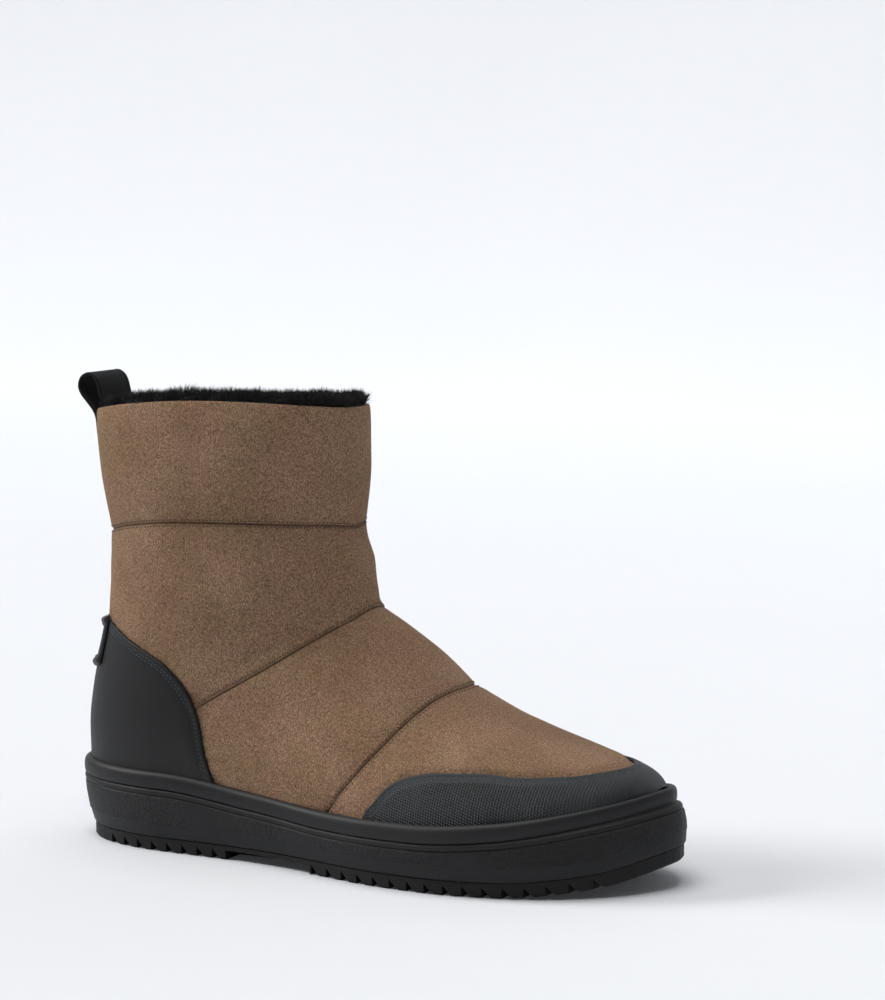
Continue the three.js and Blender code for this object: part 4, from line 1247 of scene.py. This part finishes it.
TOOTH_PITCH = 2.1
points, faces = [], []
for row, sign in ((0, -1), (1, 1)):
    tooth_z = np.arange(ZIP_FOOT_Z + 2.5 + row * TOOTH_PITCH / 2, 193, TOOTH_PITCH)
    centre_x = zip_x(tooth_z) + sign * 0.8
    t, v = places_at(centre_x, tooth_z, MEDIAL)
    base, normal = upper_point(t, v, MEDIAL), outwards(t, v, MEDIAL)
    for b, n in zip(base, normal):
        side_way = np.cross([0, 0, 1.0], n)
        side_way /= np.linalg.norm(side_way)
        up = np.cross(n, side_way)
        first = len(points)
        for depth, wide, tall in ((-2.5, 1.5, 0.62), (-1.25, 1.5, 0.62), (-0.95, 1.2, 0.42)):
            for a, c in ((-1, -1), (1, -1), (1, 1), (-1, 1)):
                points.append(b + n * depth + side_way * a * wide + up * c * tall)
        for level in (0, 4):
            for k in range(4):
                a, c = first + level + k, first + level + (k + 1) % 4
                faces.append((a, c, c + 4, a + 4))
        faces += [(first + 3, first + 2, first + 1, first), (first + 8, first + 9, first + 10, first + 11)]
teeth = new_piece("zip_teeth", points, faces, metal, smooth_shade=False)
close_up(teeth, 0.000001)


def machined(node, name, body, bevel):
    """A CAD shape's copy, with its doubles merged, its flats joined and its edges rounded."""
    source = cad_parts[node]
    piece = bpy.data.objects.new(name, source.data.copy())
    bpy.context.scene.collection.objects.link(piece)
    made = bmesh.new()
    made.from_mesh(piece.data)
    bmesh.ops.remove_doubles(made, verts=made.verts, dist=0.00002)
    bmesh.ops.dissolve_limit(made, angle_limit=0.03, verts=made.verts, edges=made.edges)
    bmesh.ops.recalc_face_normals(made, faces=made.faces)
    made.to_mesh(piece.data)
    made.free()
    piece.data.materials.clear()
    piece.data.materials.append(metal)
    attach(piece, body)
    apply_modifier(piece, "BEVEL", width=bevel / 1000, segments=3, limit_method="ANGLE", angle_limit=0.6)
    piece.data.polygons.foreach_set("use_smooth", [True] * len(piece.data.polygons))
    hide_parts(node)


machined("zip_slider", "slider_body", "root", 0.3)
machined("zip_pull", "pull_tab", "zip_pull_body", 0.25)

# ---- shearling lining ----------------------------------------------------------------------------
# Black shearling 6 mm deep lines the boot and stands a little over the suede at the collar. A shell
# gives its depth, and clumps of curved wool fibres stand on it round the rim and down inside.
wool, tree, place = new_material("black_shearling")
curls = add_noise(tree, place, 1.6, 4.0, 0.7)
clump = add_noise(tree, place, 6, 2.0)
height = add_maths(tree, "MULTIPLY_ADD", clump, 1.5, curls)
tone = ramp(tree, curls, [(0.3, srgb("0c0c0d")), (0.55, srgb("17171a")), (0.75, srgb("2b2b30"))])
inputs = {"Base Color": tone, "Roughness": 0.85}
inputs |= {"Sheen Weight": 0.25, "Sheen Roughness": 0.4, "Sheen Tint": srgb("5a5a62")}
finish_surface(tree, inputs, height, 1.0, 0.0012)


def lumps(points, size, seed):
    """Smooth unevenness between about -1 and 1, over a size in millimetres."""
    x, y, z = (points[..., k] / size for k in range(3))
    wave = np.sin(x * 1.7 + 1.3 * np.sin(y * 1.1 + seed)) * np.cos(y * 1.9 + 1.1 * np.sin(z * 1.3 + 2 * seed))
    return wave + 0.6 * np.sin(z * 2.3 + 1.5 * np.sin(x * 0.9 + seed * 1.7) + y)


# The shell's rim: out from the last's surface, and up from the collar's edge.
RIM_STEPS = [
    (-2.2, -9),
    (-2.2, -3),
    (-2.3, -0.6),
    (-2.9, 0.9),
    (-4.1, 1.9),
    (-5.6, 2.2),
    (-7.1, 1.5),
    (-8.1, 0),
    (-8.6, -2.5),
]
LINING_COLUMNS, LINING_DEPTH = 110, -8.4


def lining_ring(at, shape):
    """One ring of the shell round both sides of a section."""
    sides = []
    for side in (LATERAL, MEDIAL):
        v = np.linspace(0, 1, LINING_COLUMNS + 1)
        t = np.full(v.shape, float(at))
        sides.append(shape(upper_point(t, v, side), outwards(t, v, side)))
    return np.concatenate([sides[0], sides[1][-2:0:-1]])


def rim_shape(offset, rise):
    def shape(points, normals):
        points = points + normals * offset
        points[:, 2] += rise
        if offset < -2.5:
            points = points + normals * (0.35 * lumps(points, 3.2, 2.0))[:, None]
            points[:, 2] += 0.6 * lumps(points, 4.5, 1.0)
        return points

    return shape


def wall_shape(points, normals):
    return points + normals * (LINING_DEPTH + 0.5 * lumps(points, 3.4, 3.0))[:, None]


lining_rows = [lining_ring(0, rim_shape(offset, rise)) for offset, rise in RIM_STEPS]
for at in np.concatenate([np.arange(0.2, 5, 0.16), np.arange(5.06, 11.3, 0.25)]):
    lining_rows.append(lining_ring(at, wall_shape))
faces = grid_faces(len(lining_rows), len(lining_rows[0]), wrap=True)
new_piece("shearling_lining", np.concatenate(lining_rows), faces, wool)

dress("insole", wool)

wool_random = np.random.default_rng(11)


def fibres(name, roots, directions, lengths_mm, width, bend):
    """Curved, tapering wool fibres, each a ribbon of two quads and a tip."""
    count = len(roots)
    across = np.cross(directions, wool_random.normal(size=(count, 3)))
    across /= np.linalg.norm(across, axis=1, keepdims=True)
    curl = np.cross(directions, across) * bend
    curl += wool_random.normal(size=(count, 3)) * 0.12
    rings = []
    for share, wide in ((0, 1.0), (0.4, 0.85), (0.75, 0.5)):
        middle = roots + directions * (lengths_mm * share)[:, None] + curl * (lengths_mm * share**2)[:, None]
        rings += [middle - across * width * wide / 2, middle + across * width * wide / 2]
    tip = roots + directions * lengths_mm[:, None] + curl * lengths_mm[:, None]
    points = np.stack(rings + [tip], axis=1).reshape(-1, 3)
    first = np.arange(count)[:, None] * 7
    quads = np.concatenate([first + np.array([0, 1, 3, 2]), first + np.array([2, 3, 5, 4])])
    tips = first + np.array([4, 5, 6])
    return new_piece(name, points, quads.tolist() + tips.tolist(), wool)


# the rim's fibres fan out from its section, and lean together in clumps about 5 mm across
RIM_FIBRES = 24000
v = wool_random.random(RIM_FIBRES)
medial = wool_random.random(RIM_FIBRES) < 0.5
fan = wool_random.random(RIM_FIBRES) ** 0.8
t = np.zeros(RIM_FIBRES)
base, out = on_sides(t, v, medial)
turn = mix(0.35, math.pi + 0.35, fan)
section_out = -5.2 + 2.6 * np.cos(turn)
section_up = -0.8 + 2.0 * np.sin(turn)
roots = base + out * section_out[:, None]
roots[:, 2] += section_up
lean = np.stack([lumps(roots, 4.2, s) for s in (1.0, 2.1, 3.3)], axis=-1)
up = np.array([0, 0, 1.0])
direction = out * (0.55 * np.cos(turn))[:, None] + up * (0.35 + 0.65 * np.sin(turn))[:, None]
direction += 0.32 * lean + 0.14 * wool_random.normal(size=roots.shape)
direction /= np.linalg.norm(direction, axis=1, keepdims=True)
size = 4.3 + 0.48 * lumps(roots, 6.0, 5.0) + 1.4 * wool_random.random(RIM_FIBRES)
size -= 1.2 * (1 - smooth(roots[:, 0], 20, 60))  # shorter beside the pull loop
fibres("collar_wool", roots, direction, np.clip(size, 1.8, 7), 0.3, 0.3)

INNER_FIBRES = 22000
tt = 0.1 + 3.4 * wool_random.random(INNER_FIBRES) ** 1.4
v = wool_random.random(INNER_FIBRES)
medial = wool_random.random(INNER_FIBRES) < 0.5
base, out = on_sides(tt, v, medial)
roots = base - out * 8.0
lean = np.stack([lumps(roots, 4.8, s) for s in (4.0, 5.1, 6.3)], axis=-1)
direction = -out + 0.5 * lean + 0.2 * wool_random.normal(size=roots.shape) + np.array([0, 0, 0.25])
direction /= np.linalg.norm(direction, axis=1, keepdims=True)
size = 2.8 + 1.0 * wool_random.random(INNER_FIBRES)
fibres("inner_wool", roots, direction, size, 0.5, 0.4)

# ---- camera, lights and floor --------------------------------------------------------------------
# A plain pale floor that curves up into a backdrop, a large softbox far off beyond the heel, and a wide one
# overhead. The paper glows a little where it rises, as if it had a lamp of its own.
camera_data = bpy.data.cameras.new("camera")
camera_data.lens = 116.9
camera_data.sensor_width = 36
camera = bpy.data.objects.new("camera", camera_data)
bpy.context.scene.collection.objects.link(camera)
camera.location = (0.70625, -1.29674, 0.3345)
camera.rotation_euler = Vector((-0.4545, 0.8837, -0.1125)).to_track_quat("-Z", "Y").to_euler()
camera_data.clip_end = 50
bpy.context.scene.camera = camera

paper, tree, place = new_material("pale_backdrop_paper")
soft = add_noise(tree, place, 1000 / 1.5, 2.0)
tone = ramp(tree, soft, [(0.3, srgb("dbdde0")), (0.7, srgb("dddfe2"))])
height = add_node(tree, "ShaderNodeSeparateXYZ", inputs={0: place}).outputs[2]
glow = add_range(tree, height, (0.0, 1.2), (0.03, 0.38))
inputs = {"Base Color": tone, "Roughness": 0.95, "Specular IOR Level": 0.1}
inputs |= {"Emission Color": srgb("eeeff4"), "Emission Strength": glow}
finish_surface(tree, inputs)
profile = [(-9.0, 0.0), (2.2, 0.0)]
profile += [(2.2 + 1.2 * math.sin(a), 1.2 - 1.2 * math.cos(a)) for a in np.linspace(0.1, math.pi / 2, 16)]
profile += [(3.4, 5.0)]
floor_points = [(x, y, z) for y, z in profile for x in (-6.0, 6.0)]
floor_faces = [(2 * i, 2 * i + 1, 2 * i + 3, 2 * i + 2) for i in range(len(profile) - 1)]
mesh = bpy.data.meshes.new("backdrop")
mesh.from_pydata(floor_points, [], floor_faces)
mesh.polygons.foreach_set("use_smooth", [True] * len(mesh.polygons))
backdrop = bpy.data.objects.new("backdrop", mesh)
mesh.materials.append(paper)
bpy.context.scene.collection.objects.link(backdrop)

for name, towards, strength, spread in (
    ("key_softbox", (-0.8, -0.22, 0.6), 1.9, 20),
    ("overhead_softbox", (-0.08, -0.15, 1.0), 2.1, 45),
):
    light = bpy.data.lights.new(name, "SUN")
    light.energy, light.angle = strength, math.radians(spread)
    lamp = bpy.data.objects.new(name, light)
    lamp.rotation_euler = Vector(towards).to_track_quat("Z", "Y").to_euler()
    bpy.context.scene.collection.objects.link(lamp)
world = bpy.data.worlds.new("studio")
bpy.context.scene.world = world
world.use_nodes = True
world.node_tree.nodes["Background"].inputs[0].default_value = srgb("f1f2f6")
world.node_tree.nodes["Background"].inputs[1].default_value = 0.08
bpy.context.scene.view_settings.view_transform = "Standard"
